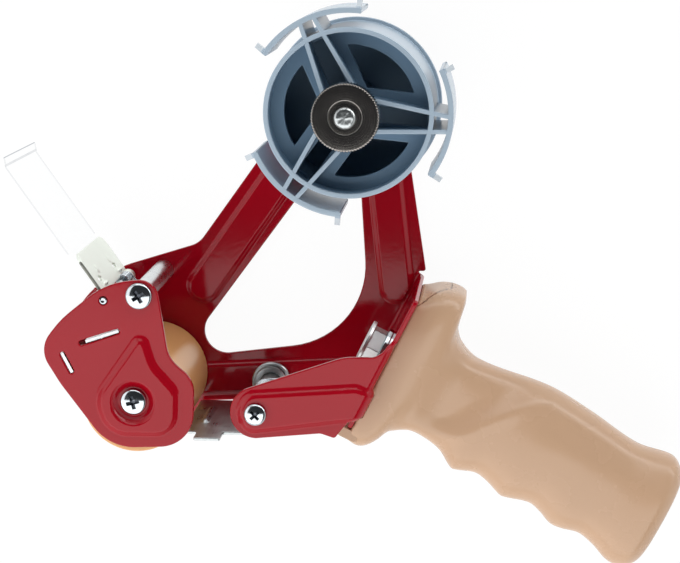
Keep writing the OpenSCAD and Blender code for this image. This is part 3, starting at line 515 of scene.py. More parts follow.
# %% Round shells: revolved profiles, skins through rings and swept wires
def revolve(profile, at=(0.0, 0.0), steps=96, knurl=None, closed=True):
    """Shell of a profile [(radius, z), ...] turned round a Z axis; knurl = (teeth, depths along the profile)."""
    turns = np.linspace(0, 2 * math.pi, steps, endpoint=False)
    verts, rows = [], []
    for k, (radius, z) in enumerate(profile):
        if radius < 1e-6:
            rows.append([len(verts)])
            verts.append((at[0], at[1], z))
            continue
        reach = np.full(steps, radius)
        if knurl:
            reach = reach - knurl[1][k] * (0.5 - 0.5 * np.cos(knurl[0] * turns))
        rows.append(list(range(len(verts), len(verts) + steps)))
        verts += [(at[0] + r * math.cos(a), at[1] + r * math.sin(a), z) for r, a in zip(reach, turns)]
    faces = []
    for one, two in zip(rows, rows[1:] + rows[:1] if closed else rows[1:]):
        if len(one) == 1 and len(two) == 1:
            continue
        for i in range(steps):
            j = (i + 1) % steps
            if len(one) == 1:
                faces.append((one[0], two[i], two[j]))
            elif len(two) == 1:
                faces.append((one[i], two[0], one[j]))
            else:
                faces.append((one[i], two[i], two[j], one[j]))
    return np.array(verts), faces


def ring_profile(inner, outer, z0, z1, edge=0.25):
    """Rounded rectangle between two radii and two heights."""
    return rounded([(inner, z0, edge), (outer, z0, edge), (outer, z1, edge), (inner, z1, edge)], 30)


def rod_profile(radius, z0, z1, edge=0.4):
    """Profile of a solid rod with rounded ends, from axis to axis."""
    return [(0, z0), *rounded([(0, z0, 0), (radius, z0, edge), (radius, z1, edge), (0, z1, 0)], 22)[1:-1], (0, z1)]


def loft(rings):
    """Closed skin through rings of equally many points, with a flat cap at each end."""
    n, last = len(rings[0]), len(rings) - 1
    faces = [(i * n + j, i * n + (j + 1) % n, (i + 1) * n + (j + 1) % n, (i + 1) * n + j)
             for i in range(last) for j in range(n)]
    faces += [tuple(range(n)), tuple(last * n + j for j in reversed(range(n)))]
    return np.concatenate(rings), faces


def tube(path, radius, sides=10):
    """Closed round wire along a path."""
    turns = np.linspace(0, 2 * math.pi, sides, endpoint=False)
    rings = []
    for i, p in enumerate(path):
        ahead = unit(path[min(i + 1, len(path) - 1)] - path[max(i - 1, 0)])
        side = unit(np.cross(ahead, (0, 0, 1)))
        over = np.cross(side, ahead)
        rings.append([p + radius * (math.cos(a) * side + math.sin(a) * over) for a in turns])
    return loft(rings)


def joined(*shells):
    """Several shells as one."""
    verts, faces, start = [], [], 0
    for shell_verts, shell_faces in shells:
        verts.append(np.asarray(shell_verts, float))
        faces += [tuple(int(i) + start for i in f) for f in shell_faces]
        start += len(shell_verts)
    return np.concatenate(verts), faces


def turned(shell, matrix):
    """The shell moved by a 4x4 matrix."""
    verts, faces = shell
    m = np.array(matrix)
    return np.asarray(verts) @ m[:3, :3].T + m[:3, 3], faces


# %% Making an object, cutting it, and handing it to the frame
MM = 0.001
SHARP = math.radians(38)


def solid(name, shell):
    """Mesh object in metres with outward faces."""
    verts, faces = shell[:2]
    mesh = bpy.data.meshes.new(name)
    mesh.from_pydata((np.asarray(verts) * MM).tolist(), [], [tuple(int(i) for i in f) for f in faces])
    build = bmesh.new()
    build.from_mesh(mesh)
    bmesh.ops.recalc_face_normals(build, faces=build.faces)
    build.to_mesh(mesh)
    build.free()
    mesh.shade_smooth()
    if len(shell) > 2:
        mesh.normals_split_custom_set_from_vertices(shell[2].tolist())
    made = bpy.data.objects.new(name, mesh)
    scene.collection.objects.link(made)
    return made


def cut(obj, cutter, operation="DIFFERENCE"):
    """Boolean of two objects, applied to the first; the second goes."""
    step = obj.modifiers.new("cut", "BOOLEAN")
    step.object, step.operation, step.solver = cutter, operation, "EXACT"
    step.use_self = operation == "UNION"
    seen = obj.evaluated_get(bpy.context.evaluated_depsgraph_get())
    mesh = bpy.data.meshes.new_from_object(seen)
    obj.modifiers.clear()
    obj.data = mesh
    bpy.data.objects.remove(cutter)
    return obj


def dress(obj, body, nodes, slot, material):
    """Smooth shading with even normals, one finish, a body and the CAD nodes it stands for; slot is not used.

    A piece that bends between two bodies has None for its body and is put on neither.
    """
    if not obj.data.has_custom_normals:
        obj.data.shade_smooth()
        obj.data.set_sharp_from_angle(angle=SHARP)
        obj.modifiers.new("even shading", "WEIGHTED_NORMAL").keep_sharp = True
    obj.data.materials.clear()
    obj.data.materials.append(material)
    if body:
        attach(obj, body)
    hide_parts(*nodes)
    print(obj.name, len(obj.data.vertices), "vertices on", body or "two bodies")
    return obj


def piece(name, shell, *dressing):
    """A solid that is dressed at once."""
    return dress(solid(name, shell), *dressing)


# %% [markdown]
# ## The folded frame
# The far side plate, the flange behind the grip and the near arm are one steel blank, cut, pressed and folded
# twice. It could be three boxes joined together, but a real blank shows its bends and rolled-over edges. So the
# outline is drawn flat, its ribs are pressed in, and each point is then carried round the two bends.

# %% Measures of the frame
SHEET, SHEET_EDGE, BEND, SPAN = 1.8, 0.5, 3.5, 57.0
ROD_HOLE, SCREW_HOLE, PIN_HOLE, EYE_HOLE, BOLT_HOLE = 3.1, 2.6, 1.6, 2.1, 4.1
Z_NEAR, Z_OUT, Z_MID = 53.2, 55.0, 27.5
ROLLER, GRIP = np.array([-80.0, -108.0]), np.array([13.75, -93.5])
REAR = GRIP + (-47.6, -17.7)
UPPER, PIN = ROLLER + (3.0, 40.5), ROLLER + (-10.5, 38.5)
LEAN = math.radians(63.4)
BACK, UP = np.array([math.sin(LEAN), -math.cos(LEAN)]), np.array([math.cos(LEAN), math.sin(LEAN)])
HEAD = [(-15, 41.3, 25), (-27.2, 30.7, 25), (-35.4, 20, 6), (-27.5, 6.5, 30), (-9.3, -18, 18.5)]
HOLDER, LONG_LEAN, SHORT_LEAN = ROLLER + (-27.5, 18.8), math.radians(18.7), math.radians(-63)


def around(at, corners):
    """Corners that are given from a place."""
    return [(at[0] + x, at[1] + y, r) for x, y, r in corners]


def on_flange(corners):
    """Corners seen from the middle of the flange: x back into the hand, y up the flange."""
    return [(*((np.array(c[:2]) - GRIP) @ np.stack([BACK, UP], axis=1)), *c[2:]) for c in corners]


def slot_hole(lean, x0, x1, y0, y1, radius):
    """Clockwise outline of one of the blade holder's slots."""
    ahead = heading(lean)
    side = np.array([-ahead[1], ahead[0]])
    box = [(x0, y0), (x0, y1), (x1, y1), (x1, y0)]
    return even([(*(HOLDER + x * ahead + y * side), radius) for x, y in box], 20, 0.8)


HOLDER_SLOTS = [slot_hole(lean, *ends, -0.35, 1.55, 0.85)
                for lean, ends in ((LONG_LEAN, (8.2, 24.35)), (SHORT_LEAN, (0.55, 9.45)))]
print("flange runs", BACK.round(3), UP.round(3))

# %% The fold: where each point of the flat blank ends up
MID_R = BEND - SHEET / 2
ARC = MID_R * math.pi / 2
WALL_START = -BEND + ARC
WALL_END = WALL_START + Z_OUT - 2 * BEND
ARM_START = WALL_END + ARC
FLANGE_TOP = SPAN / 2
ARM_TOP, RUN_OUT = FLANGE_TOP - 23.5, 7.0


def soft(t):
    """Smooth step from 0 to 1."""
    t = np.clip(t, 0, 1)
    return t * t * (3 - 2 * t)


def fold(at):
    """Middle surface and inner normal of the folded blank; the tab above the flange stays flat."""
    u, v = at[:, 0], at[:, 1]
    bent = (u > -BEND) & (v < FLANGE_TOP - 0.2)
    first = np.clip((u + BEND) / ARC, 0, 1) * math.pi / 2
    curve = np.maximum(soft((ARM_TOP + RUN_OUT - v) / RUN_OUT), 1e-4) / MID_R
    second = curve * np.clip(u - WALL_END, 0, ARC)
    beyond = np.clip(u - ARM_START, 0, None)
    x = -BEND + MID_R * np.sin(first) - (1 - np.cos(second)) / curve - beyond
    z = BEND - MID_R * np.cos(first) + np.clip(u, WALL_START, WALL_END) - WALL_START + np.sin(second) / curve
    angle = np.where(bent, first + second, 0)
    x, z = np.where(bent, x, u), np.where(bent, z, SHEET / 2)
    middle = np.column_stack([GRIP + x[:, None] * BACK + v[:, None] * UP, z])
    normal = np.column_stack([-np.sin(angle)[:, None] * BACK, np.cos(angle)])
    return middle, normal


def arm_blank(corners):
    """Corners of the near arm, seen from the flange, laid out past the second bend."""
    return [(ARM_START - BEND - x, y, r) for x, y, r in corners]


# %% Outline of the blank, its window and its holes
ARM_R = 9.8
arm_round = [(*(REAR + ARM_R * heading(a)), 0) for a in np.radians(np.linspace(-90, -251, 42))]
far_corners = [(17.2, 51.4, 10)] + HEAD + [(16.4, -18.6, 5), (20.4, -12.4, 3)]
blank_corners = on_flange([(9.9, 44.9, 17.5)] + around(ROLLER, far_corners))
blank_corners += [(-BEND, -FLANGE_TOP, 2), (WALL_END - 5, -FLANGE_TOP, 2), (WALL_END - 3.6, -23.6, 1.5)]
arm_tail = [(-2.6, -23.4, 1.5), (-4.3, -32.2, 1.2), (-9.8, -33.0, 4)]
arm_back = on_flange(around(GRIP, [(-14.5, 4.2, 20)])) + [(-5.2, ARM_TOP - 3, 4.5)]
blank_corners += arm_blank(arm_tail + on_flange(arm_round) + arm_back)
blank_corners += [(WALL_END + BEND, ARM_TOP + 0.5, 4), (WALL_END + BEND, FLANGE_TOP - 0.3, 1.2),
                  (-BEND - 0.6, FLANGE_TOP - 0.3, 0.4), (-0.4, FLANGE_TOP + 1.5, 1)]
blank = even(blank_corners, 6, 1.5)
window = rounded([(-0.6, -6.8, 6)] + around(ROLLER, [(8.3, 4.6, 9)]) + around(GRIP, [(-8.9, 0.1, 33)]), 6)[::-1]


def to_blank(loop):
    """Points of the plate as they lie on the flat blank."""
    return (np.asarray(loop) - GRIP) @ np.stack([BACK, UP], axis=1)


frame_holes = [to_blank(spaced(window, 1.5))] + [to_blank(h) for h in HOLDER_SLOTS]
frame_holes += [to_blank(circle(at, r, hole=True))
                for at, r in ((ROLLER, ROD_HOLE), (UPPER, ROD_HOLE), (PIN, PIN_HOLE), (REAR, ROD_HOLE))]
frame_holes.append(circle((WALL_START + Z_MID - BEND, 0), BOLT_HOLE, hole=True))
screw_eye = circle(to_blank(REAR), EYE_HOLE, hole=True)
screw_eye[:, 0] = ARM_START - BEND - screw_eye[:, 0]
frame_holes.append(screw_eye[::-1])
print("blank", len(blank), "points", len(frame_holes), "holes")

# %% Ribs in the legs and the boss on the arm, pressed into the blank
RIB_FOOT, RIB_SLOPE, RIB_H, RAIL_H, BOSS_H, BOSS_SLOPE = 7.3, 2.7, 2.0, 1.2, 1.6, 3.4
rib_lines = [((-20, -14.5), ROLLER + (19, 34.5)), ((10.2, -25), GRIP + (1.6, 20.5)),
             (ROLLER + (17, -3.6), GRIP + (-20, -14.5))]
ribs = [Press(capsule(*to_blank(np.array(line)), RIB_FOOT), high, RIB_SLOPE)
        for line, high in zip(rib_lines, (RIB_H, RIB_H, RAIL_H))]
boss_corners = arm_blank(on_flange(around(REAR, [(-4.4, -9.2, 7.4), (-8.8, 0, 7.4), (-4.4, 8.8, 7.4)])
                                   + around(GRIP, [(-10, -5.6, 6)])))
boss_corners += [(WALL_END - 3.4, -8.2, 3), (WALL_END - 3.4, -21.2, 3), (ARM_START + 1.0, -26.6, 3)]
arm_boss = Press(even(boss_corners, 8, 1.1), -BOSS_H, BOSS_SLOPE)
presses = ribs + [arm_boss]
loops = [blank] + frame_holes
bend_rows = [(-BEND, WALL_START), (WALL_END, ARM_START)]
across = np.arange(-FLANGE_TOP + 2, FLANGE_TOP - 1, 3.0)
bend_points = np.array([(u, v) for a, b in bend_rows for u in np.linspace(a, b, 8) for v in across])
bend_points = bend_points[inside(bend_points, loops) & (np.abs(depth(bend_points, blank)) > 0.7)]
open_points = lattice(loops, 4.5, 1.6, presses)
open_points = open_points[[min(abs(p[0] - q) for row in bend_rows for q in row) > 1.5
                           and not any(a < p[0] < b for a, b in bend_rows) for p in open_points]]
frame_points = np.concatenate([bend_points, open_points])
piece("frame_pressing", sheet_shell(loops, fold, SHEET, SHEET_EDGE, 3, frame_points, presses),
      "frame", ["main_frame"], "red_enamel", ENAMEL)

# %% [markdown]
# ## The front side plate
# A second pressing closes the roller end. A teardrop is pressed out of it, and the roller screw sits in a dimple
# pressed back into the teardrop. The same sheet shell makes it, flat this time, so its slopes catch the light as
# the frame's do.

# %% Front side plate
DIMPLE_R, DIMPLE_H, DIMPLE_SLOPE = 9.0, 2.8, 3.5
near_corners = around(ROLLER, [(9.2, 47, 7.2), (-9.4, 45.1, 30), (-27.3, 30.6, 40), (-35.4, 19.6, 10),
                               (-27.5, 6.5, 30), (-9.3, -18, 18.5), (22.4, -16.6, 14), (23.0, 8.8, 10),
                               (13.6, 16.8, 12)])
tear_corners = around(ROLLER, [(4.5, 30.6, 4.4), (-16, 1.5, 12.4), (-10.3, -13.8, 11.4), (17.3, -13.8, 10.4),
                               (18, 5.2, 8.4), (9.2, 15, 12)])
teardrop = Press(even(tear_corners, 6, 1.1), BOSS_H, BOSS_SLOPE)
dimple = Press(circle(ROLLER, DIMPLE_R, 0.9), -DIMPLE_H, DIMPLE_SLOPE)
plate_loops = [even(near_corners, 5, 1.4)] + HOLDER_SLOTS
plate_loops += [circle(at, r, hole=True) for at, r in ((ROLLER, SCREW_HOLE), (UPPER, SCREW_HOLE), (PIN, PIN_HOLE))]
plate_presses = [teardrop, dimple]
plate_points = lattice(plate_loops, 4.0, 1.4, plate_presses)
plate_shell = sheet_shell(plate_loops, level_at(Z_NEAR + SHEET / 2), SHEET, SHEET_EDGE, 3, plate_points, plate_presses)
piece("front_plate_pressing", plate_shell, "frame", ["front_side_plate"], "red_enamel", ENAMEL)

# %% [markdown]
# ## The tape hub
# One moulding: a drum with a back flange, a web, three pairs of spoke ribs and three spring fingers that hold
# the cardboard core. It could be carved from one block, but revolved rings and rounded slabs that run into each
# other follow the way the mould is cut, and they join in one piece.

# %% Measures of the hub
HUB_Z0, HUB_Z1, DRUM_R, DRUM_IN = 5.9, 48.9, 31.2, 29.4
WEB_Z0, WEB_Z1, BOSS_R, BUSH_R = 37.9, 39.9, 8.85, 6.67
FINGER_R, FINGER_IN, FINGER_Z = 38.3, 36.3, 14.4
SPOKES = np.radians([-5.8, 114.2, 234.2])
SPOKE_LEAN, SPOKE_HALF, SPOKE_T, SPOKE_GAP = math.radians(6.2), 6.7, 1.6, 3.1
FINGER_HALF = math.radians(31.5)


def spun(points, angle):
    """Points turned round the origin."""
    c, s = math.cos(angle), math.sin(angle)
    return np.asarray(points) @ np.array([[c, s], [-s, c]])


# %% Drum, boss and web
drum = revolve(rounded([(BUSH_R, HUB_Z0, 0.2), (DRUM_R + 1.5, HUB_Z0, 0.4), (DRUM_R + 1.5, HUB_Z0 + 2, 0.4),
                        (DRUM_R, HUB_Z0 + 2, 0.3), (DRUM_R, HUB_Z1, 0.35), (DRUM_IN, HUB_Z1, 0.35),
                        (DRUM_IN, HUB_Z0 + 2, 0.5), (BOSS_R, HUB_Z0 + 2, 0.5), (BOSS_R, HUB_Z1 - 0.3, 0.3),
                        (BUSH_R, HUB_Z1 - 0.3, 0.2)], 30), steps=160)
WINDOW_OUT = DRUM_IN - 5.0


def sector_window(angle):
    """Clockwise outline of the large opening between two spokes, in the web."""
    half = SPOKE_HALF + 2.5
    sweep = 2 * math.pi / 3
    first = angle + math.asin(half / WINDOW_OUT)
    last = angle + sweep - math.asin(half / WINDOW_OUT)
    arc = [WINDOW_OUT * heading(a) for a in np.linspace(first, last, 40)]
    inner = spun([((half + half * math.cos(sweep)) / math.sin(sweep), half)], angle)[0]
    corner = [(*inner, 0.8), (*arc[0], 1.0), *[(*p, 0) for p in arc[1:-1]], (*arc[-1], 1.0)]
    return even(corner, 15, 1.5)[::-1]


def spoke_window(angle):
    """Outline of the slit between the two ribs of a spoke, in the web."""
    start, end = BOSS_R + 1, DRUM_IN - 1
    box = [(start, -SPOKE_GAP), (start, SPOKE_GAP), (end, SPOKE_GAP), (end, -SPOKE_GAP)]
    return even([(*p, 0.6) for p in spun(box, angle)], 20, 1.5)


web_loops = [circle((0, 0), DRUM_IN + 0.8, 1.2), circle((0, 0), BOSS_R - 0.8, 1.2, hole=True)]
web_loops += [sector_window(a) for a in SPOKES] + [spoke_window(a) for a in SPOKES]
web = slab(web_loops, WEB_Z0, WEB_Z1, 0.3)

# %% Spoke ribs and spring fingers with hooked ends
RIB_TOP = HUB_Z1 - 0.12


def spoke_rib(angle, side, start, end, z0):
    """One of a spoke's two ribs, which lean towards each other."""
    box = [(start, -SPOKE_T / 2), (end, -SPOKE_T / 2), (end, SPOKE_T / 2), (start, SPOKE_T / 2)]
    leaned = spun(box, -side * SPOKE_LEAN) + (0, side * SPOKE_HALF)
    return slab([spaced(spun(leaned, angle), 3.0)], z0, RIB_TOP, 0.25)


def finger_loop(angle):
    """Outline of a finger, an arc outside the drum."""
    turns = np.linspace(-FINGER_HALF, FINGER_HALF, 61)
    outer = [FINGER_R * heading(a) for a in turns]
    inner = [FINGER_IN * heading(a) for a in turns[::-1]]
    corners = [(*outer[0], 0.3), *[(*p, 0) for p in outer[1:-1]], (*outer[-1], 0.3), (*inner[0], 0.3),
               *[(*p, 0) for p in inner[1:-1]], (*inner[-1], 0.3)]
    return spaced(spun(rounded(corners, 30), angle), 1.5)


def finger_hook(angle, side):
    """Snap hook on a finger's end, with a ramp in front that lets the core slide on."""
    reach, top = 3.4, HUB_Z1 - 0.1
    profile = rounded([(FINGER_R - 1, top - reach, 0.2), (FINGER_R + reach, top - reach, 0.25),
                       (FINGER_R + reach, top - 0.75 * reach, 0.4), (FINGER_R - 0.2, top, 0.8),
                       (FINGER_R - 1, top, 0.2)], 20)
    turns = angle + side * np.linspace(FINGER_HALF - math.radians(3.0), FINGER_HALF - math.radians(0.2), 5)
    return loft([[(r * math.cos(a), r * math.sin(a), z) for r, z in profile] for a in turns])


hub_shells = [drum, web]
for spoke in SPOKES:
    hub_shells.append(slab([finger_loop(spoke)], FINGER_Z, HUB_Z1, 0.3))
    for side in (-1, 1):
        hub_shells += [spoke_rib(spoke, side, 7.4, DRUM_IN + 0.9, WEB_Z0 + 0.4),
                       spoke_rib(spoke, side, DRUM_IN + 0.9, FINGER_IN + 1.0, FINGER_Z + 0.3),
                       finger_hook(spoke, side)]
piece("hub_moulding", joined(*hub_shells), "hub", ["tape_hub"], "hub_blue", HUB_PLASTIC)

# %% [markdown]
# ## Brake nut and spindle
# The knurled nut squeezes a spring against the hub and so brakes the tape. Its face is turned, its rim has fine
# knurling, and the spindle's end is peened over so that the nut can't be lost. A knurl could be a bump, but
# real teeth glitter along the rim.

# %% Knurled nut
NUT_Z0, NUT_Z1, NUT_R, KNURL = 57.9, 63.9, 12.5, 0.35
nut_profile = [(4.05, NUT_Z0), (NUT_R - 0.7, NUT_Z0), (NUT_R, NUT_Z0 + 0.6), (NUT_R, NUT_Z1 - 0.6),
               (NUT_R - 0.25, NUT_Z1 - 0.2), (NUT_R - 0.8, NUT_Z1), (6.4, NUT_Z1), (6.0, NUT_Z1 - 0.3),
               (5.7, NUT_Z1 - 1.2), (4.05, NUT_Z1 - 1.2)]
nut_depths = [0, 0.1, KNURL, KNURL, KNURL, 0, 0, 0, 0, 0]
TEETH = 71
piece("knurled_nut", revolve(nut_profile, steps=TEETH * 6, knurl=(TEETH, nut_depths)),
      "brake_knob", ["brake_nut"], "dark_steel", TURNED)

# %% Spindle with a peened end
PEEN_Z = 64.9


def peened(verts, faces):
    """Pushes the end face into the dents of a hammered rivet."""
    verts = verts.copy()
    x, y, z = verts.T
    dents = 0.2 * np.sin(1.3 * x + 0.7) * np.sin(1.1 * y - 0.4) + 0.07 * np.sin(3.2 * x - 2.1 * y)
    verts[:, 2] -= np.where(z > PEEN_Z, np.abs(dents) + 0.05, 0)
    return verts, faces


spindle_profile = [(0, 1.8), (10.7, 1.8), (11, 2.1), (11, 4.1), (10.7, 4.4), (5.0, 4.4), (5.0, 50.8), (4.7, 51.0),
                   (4.0, 51.0), (4.0, 64.6), (3.9, 65.0), (3.6, 65.5), (3.0, 65.8), (2.2, 65.9), (1.4, 65.9),
                   (0.7, 65.9), (0, 65.9)]
piece("hub_spindle_peened", peened(*revolve(spindle_profile, steps=64, closed=False)),
      "frame", ["hub_spindle"], "zinc", DULL)

# %% [markdown]
# ## Roller, rods and pins
# The rubber sleeve and the rods between the sides are turned parts, so a revolved profile is the honest way to
# make them. Small rounded edges give each end its bright ring.

# %% Rubber roller
piece("roller_sleeve", revolve(ring_profile(16.32, 20.3, 3.1, 50.7, 0.8), ROLLER, 160),
      "roller", ["roller_tyre"], "roller_tan", RUBBER)

# %% Rods, pins and the collar
TAIL_R, ROD_R = 3.0, 4.0


def tail_rod(at, z0, z1, tail):
    """Rod with a thinner tail that is riveted into the far plate."""
    profile = [(0, tail), (TAIL_R - 0.3, tail), (TAIL_R, tail + 0.3), (TAIL_R, z0), (ROD_R - 0.4, z0),
               (ROD_R, z0 + 0.4), (ROD_R, z1 - 0.4), (ROD_R - 0.4, z1), (0, z1)]
    return revolve(profile, at, 64, closed=False)


piece("tie_rod", tail_rod(UPPER, 1.8, 53.2, 0.2), "frame", ["upper_tie_rod"], "zinc", ZINC)
piece("cross_pin", tail_rod(REAR, 3.8, 54.8, 2.2), "frame", ["rear_cross_pin"], "zinc", DULL)
collar_profile = [(4.1, 3.8), (7.5, 3.8), (7.8, 4.1), (7.8, 5.5), (7.5, 5.8), (5.6, 5.8), (5.3, 5.5), (4.1, 5.5)]
piece("pin_collar", revolve(collar_profile, REAR, 72), "frame", ["rear_pin_collar"], "zinc", DULL)
pin_profile = [(0, 0.2), (1.2, 0.2), (1.5, 0.5), (1.5, 54.8), (1.3, 55.12), (1.0, 55.2), (0.65, 54.95), (0, 54.85)]
piece("flap_hinge_pin", revolve(pin_profile, PIN, 40, closed=False), "frame", ["flap_pin"], "zinc", BRIGHT)

# %% [markdown]
# ## Cross-recess screws
# Three pan screws with a cross recess close the near side. The domed head mirrors the studio, bright below and dark
# above, and the cross is cut with a tapered boolean, as the punch leaves it. The faces inside the cross are painted
# dark as shade.

# %% A screw and its cross
def cross_cutter(at, top, reach, width, deep, lean):
    """Two tapered bars, crossed, that leave the recess of a cross-head screw."""
    bars = []
    for turn in (lean, lean + math.pi / 2):
        rings = []
        for z, length, half in ((top + 0.6, reach, width / 2), (top - deep * 0.55, reach * 0.8, width * 0.42),
                                (top - deep, reach * 0.3, width * 0.25)):
            box = [(-length, -half), (length, -half), (length, half), (-length, half)]
            rings.append([(at[0] + x, at[1] + y, z) for x, y in spun(box, turn)])
        bars.append(solid("bar", loft(rings)))
    return cut(*bars, "UNION")


SCREW_LEN, HEAD_H, HEAD_RIM, CROSS_DEEP = 12.0, 2.6, 0.42, 2.0


def head_height(share):
    """Height of the domed head where the cosine of its slope's angle is share."""
    return HEAD_H * (HEAD_RIM + (1 - HEAD_RIM) * share)


def pan_screw(name, at, seat, shank, head_r, lean, node_name):
    """Pan screw on its seat, with painted shade on the faces of its recess."""
    tip = seat - SCREW_LEN
    dome = [(head_r * math.sin(a), seat + head_height(math.cos(a))) for a in np.radians(np.linspace(84, 0, 12))]
    profile = [(0, tip), (shank - 0.5, tip), (shank, tip + 0.6), (shank, seat), (head_r - 0.2, seat),
               (head_r, seat + 0.3), *dome[:-1], (0, dome[-1][1])]
    screw = solid(name, revolve(profile, at, 72, closed=False))
    cut(screw, cross_cutter(at, seat + HEAD_H, head_r * 0.56, shank * 0.62, CROSS_DEEP, math.radians(lean)))
    dress(screw, "frame", [node_name], "zinc", BRIGHT)
    # the faces inside the cross get the painted shade
    screw.data.materials.append(RECESS_SHADE)
    for face in screw.data.polygons:
        x, y, z = np.array(face.center) / MM
        reach = min(math.hypot(x - at[0], y - at[1]) / head_r, 1)
        under = seat + head_height(math.sqrt(1 - reach * reach)) - z
        face.material_index = int(under > 0.1 and reach < 0.6 and z > seat)


pan_screw("roller_pan_screw", ROLLER, 53.8, 2.5, 4.95, 14, "roller_screw")
pan_screw("upper_pan_screw", UPPER, 55.0, 2.5, 4.95, 30, "upper_screw")
pan_screw("arm_pan_screw", REAR, 56.6, 2.0, 4.15, 42, "arm_screw")

# %% [markdown]
# ## The grip bolt
# A zinc bolt with a round head and a hexagon collar clamps the grip from inside the frame. It lies along the
# flange's own X axis, so it is turned upright first and then laid down with one matrix.

# %% Bolt and washer
LAY = Matrix(((0, UP[0], BACK[0], GRIP[0]), (0, UP[1], BACK[1], GRIP[1]), (1, 0, 0, Z_MID), (0, 0, 0, 1)))
DISC_R, HEX_R = 8.5, 6.5 / math.cos(math.pi / 6)


def hexagon(z0, z1):
    """Chamfered hexagon prism round the bolt's axis."""
    corners = [HEX_R * heading(a) for a in np.radians(np.arange(0, 360, 60))]
    return slab([even([(*p, 0.35) for p in corners], 20, 2.0)], z0, z1, 0.35)


head = revolve(rod_profile(DISC_R, -10.2, -8.75, 0.35), steps=72, closed=False)
shank = revolve(rod_profile(4.0, -8.9, 21.0, 0.4), steps=48, closed=False)
washer = revolve(ring_profile(4.1, DISC_R, -3.6, -1.8, 0.3), steps=72)
piece("grip_bolt", turned(joined(head, hexagon(-8.85, -3.6), shank), LAY), "frame", ["handle_bolt"], "zinc", FROSTED)
piece("grip_washer", turned(washer, LAY), "frame", ["handle_washer"], "zinc", BRIGHT)

# %% [markdown]
# ## Wiper flap and its bracket
# A zinc bracket swings on the pin and holds a strip of clear plastic that presses the tape on to the roller.
# The bracket is bent sheet with two rolled knuckles and two lanced barbs, and two flat rivets with spacers hold
# the film. The barbs are pressed into the same sheet, next to the slits that the lance leaves.

# %% Flap bracket
FLAP_LEAN = math.radians(125)
FLAP = Matrix.Translation((*PIN, Z_MID)) @ Matrix.Rotation(FLAP_LEAN, 4, "Z")
BRACKET_T, BRACKET_HALF, BRACKET_LEN = 1.2, 23.0, 19.5
PLATE_X, KNUCKLE_IN, KNUCKLE_R, KNUCKLE_W = 3.35, 1.55, 2.75, 4


def bracket_skin(at):
    """Stands the bracket's blank (x along the flap, y across it) on edge."""
    middle = np.column_stack([at[:, 0], np.zeros(len(at)), at[:, 1]])
    return middle, np.tile((0.0, 1.0, 0.0), (len(at), 1))


plate_outline = rounded([(PLATE_X - 1.5, -BRACKET_HALF, 0.5), (BRACKET_LEN, -BRACKET_HALF, 5),
                         (BRACKET_LEN, BRACKET_HALF, 5), (PLATE_X - 1.5, BRACKET_HALF, 0.5)], 6)
RIVET_X, RIVET_Z, BARB_X, BARB_Z, FILM_Y = 10.5, (-10.8, 10.8), 4.9, (-13.5, 13.5), 1.6
bracket_loops = [spaced(plate_outline, 2.0)] + [circle((RIVET_X, z), 1.3, hole=True) for z in RIVET_Z]
bracket_loops += [circle((0, 0), 1.0, 0.4, hole=True) * (1.1, 2.6) + (BARB_X + 2.1, z + 1.6) for z in BARB_Z]
barbs = [Press(circle((0, 0), 1.0, 0.3) * (1.2, 2.9) + (BARB_X - 0.6, z - 0.8), -1.1, 0.9) for z in BARB_Z]
bracket_points = lattice(bracket_loops, 3.0, 0.9, barbs)
bracket_shells = [sheet_shell(bracket_loops, bracket_skin, BRACKET_T, 0.3, 3, bracket_points, barbs)[:2]]
for side in (-1, 1):
    k0, k1 = sorted((side * (BRACKET_HALF - KNUCKLE_W), side * BRACKET_HALF))
    bracket_shells.append(revolve(ring_profile(KNUCKLE_IN, KNUCKLE_R, k0, k1, 0.3), steps=40))
piece("flap_bracket_sheet", turned(joined(*bracket_shells), FLAP), "flap", ["flap_bracket"], "zinc", PALE)

# %% Flat rivets through bracket and film
def flat_rivet(z):
    """Rivet with a spacer between bracket and film."""
    profile = [(0, -0.85), (1.5, -0.85), (2.0, -0.6), (1.2, -0.6), (1.2, 0.62), (1.9, 0.62), (1.9, FILM_Y - 0.3),
               (1.2, FILM_Y - 0.3), (1.2, FILM_Y + 0.3), (2.0, FILM_Y + 0.3), (1.5, FILM_Y + 0.6), (0, FILM_Y + 0.6)]
    upright = Matrix.Translation((RIVET_X, 0, z)) @ Matrix.Rotation(-math.pi / 2, 4, "X")
    return turned(revolve(profile, steps=32, closed=False), FLAP @ upright)


piece("film_rivets", joined(*[flat_rivet(z) for z in RIVET_Z]), "flap", ["flap_rivets"], "zinc", PALE)

# %% Clear wiper film with a bent tip
FILM_T, FILM_HALF, NECK_HALF, FILM_LEN = 0.6, 24.0, 21.6, 64.5
TIP_LEN, TIP_BEND, TIP_LEAN = 3.4, 2.0, math.radians(24)
film_bend = FILM_LEN - TIP_LEN


def film_skin(at):
    """Runs the film out straight and turns its tip down by a soft bend."""
    x, z = at[:, 0], at[:, 1]
    past = np.clip(x - film_bend + TIP_BEND / 2, 0, None)
    lean = TIP_LEAN * np.clip(past / TIP_BEND, 0, 1)
    run = np.minimum(x, film_bend - TIP_BEND / 2) + past * np.cos(lean)
    middle = np.column_stack([run, FILM_Y - past * np.sin(lean), z])
    normal = np.column_stack([np.sin(lean), np.cos(lean), np.zeros(len(at))])
    return middle, normal


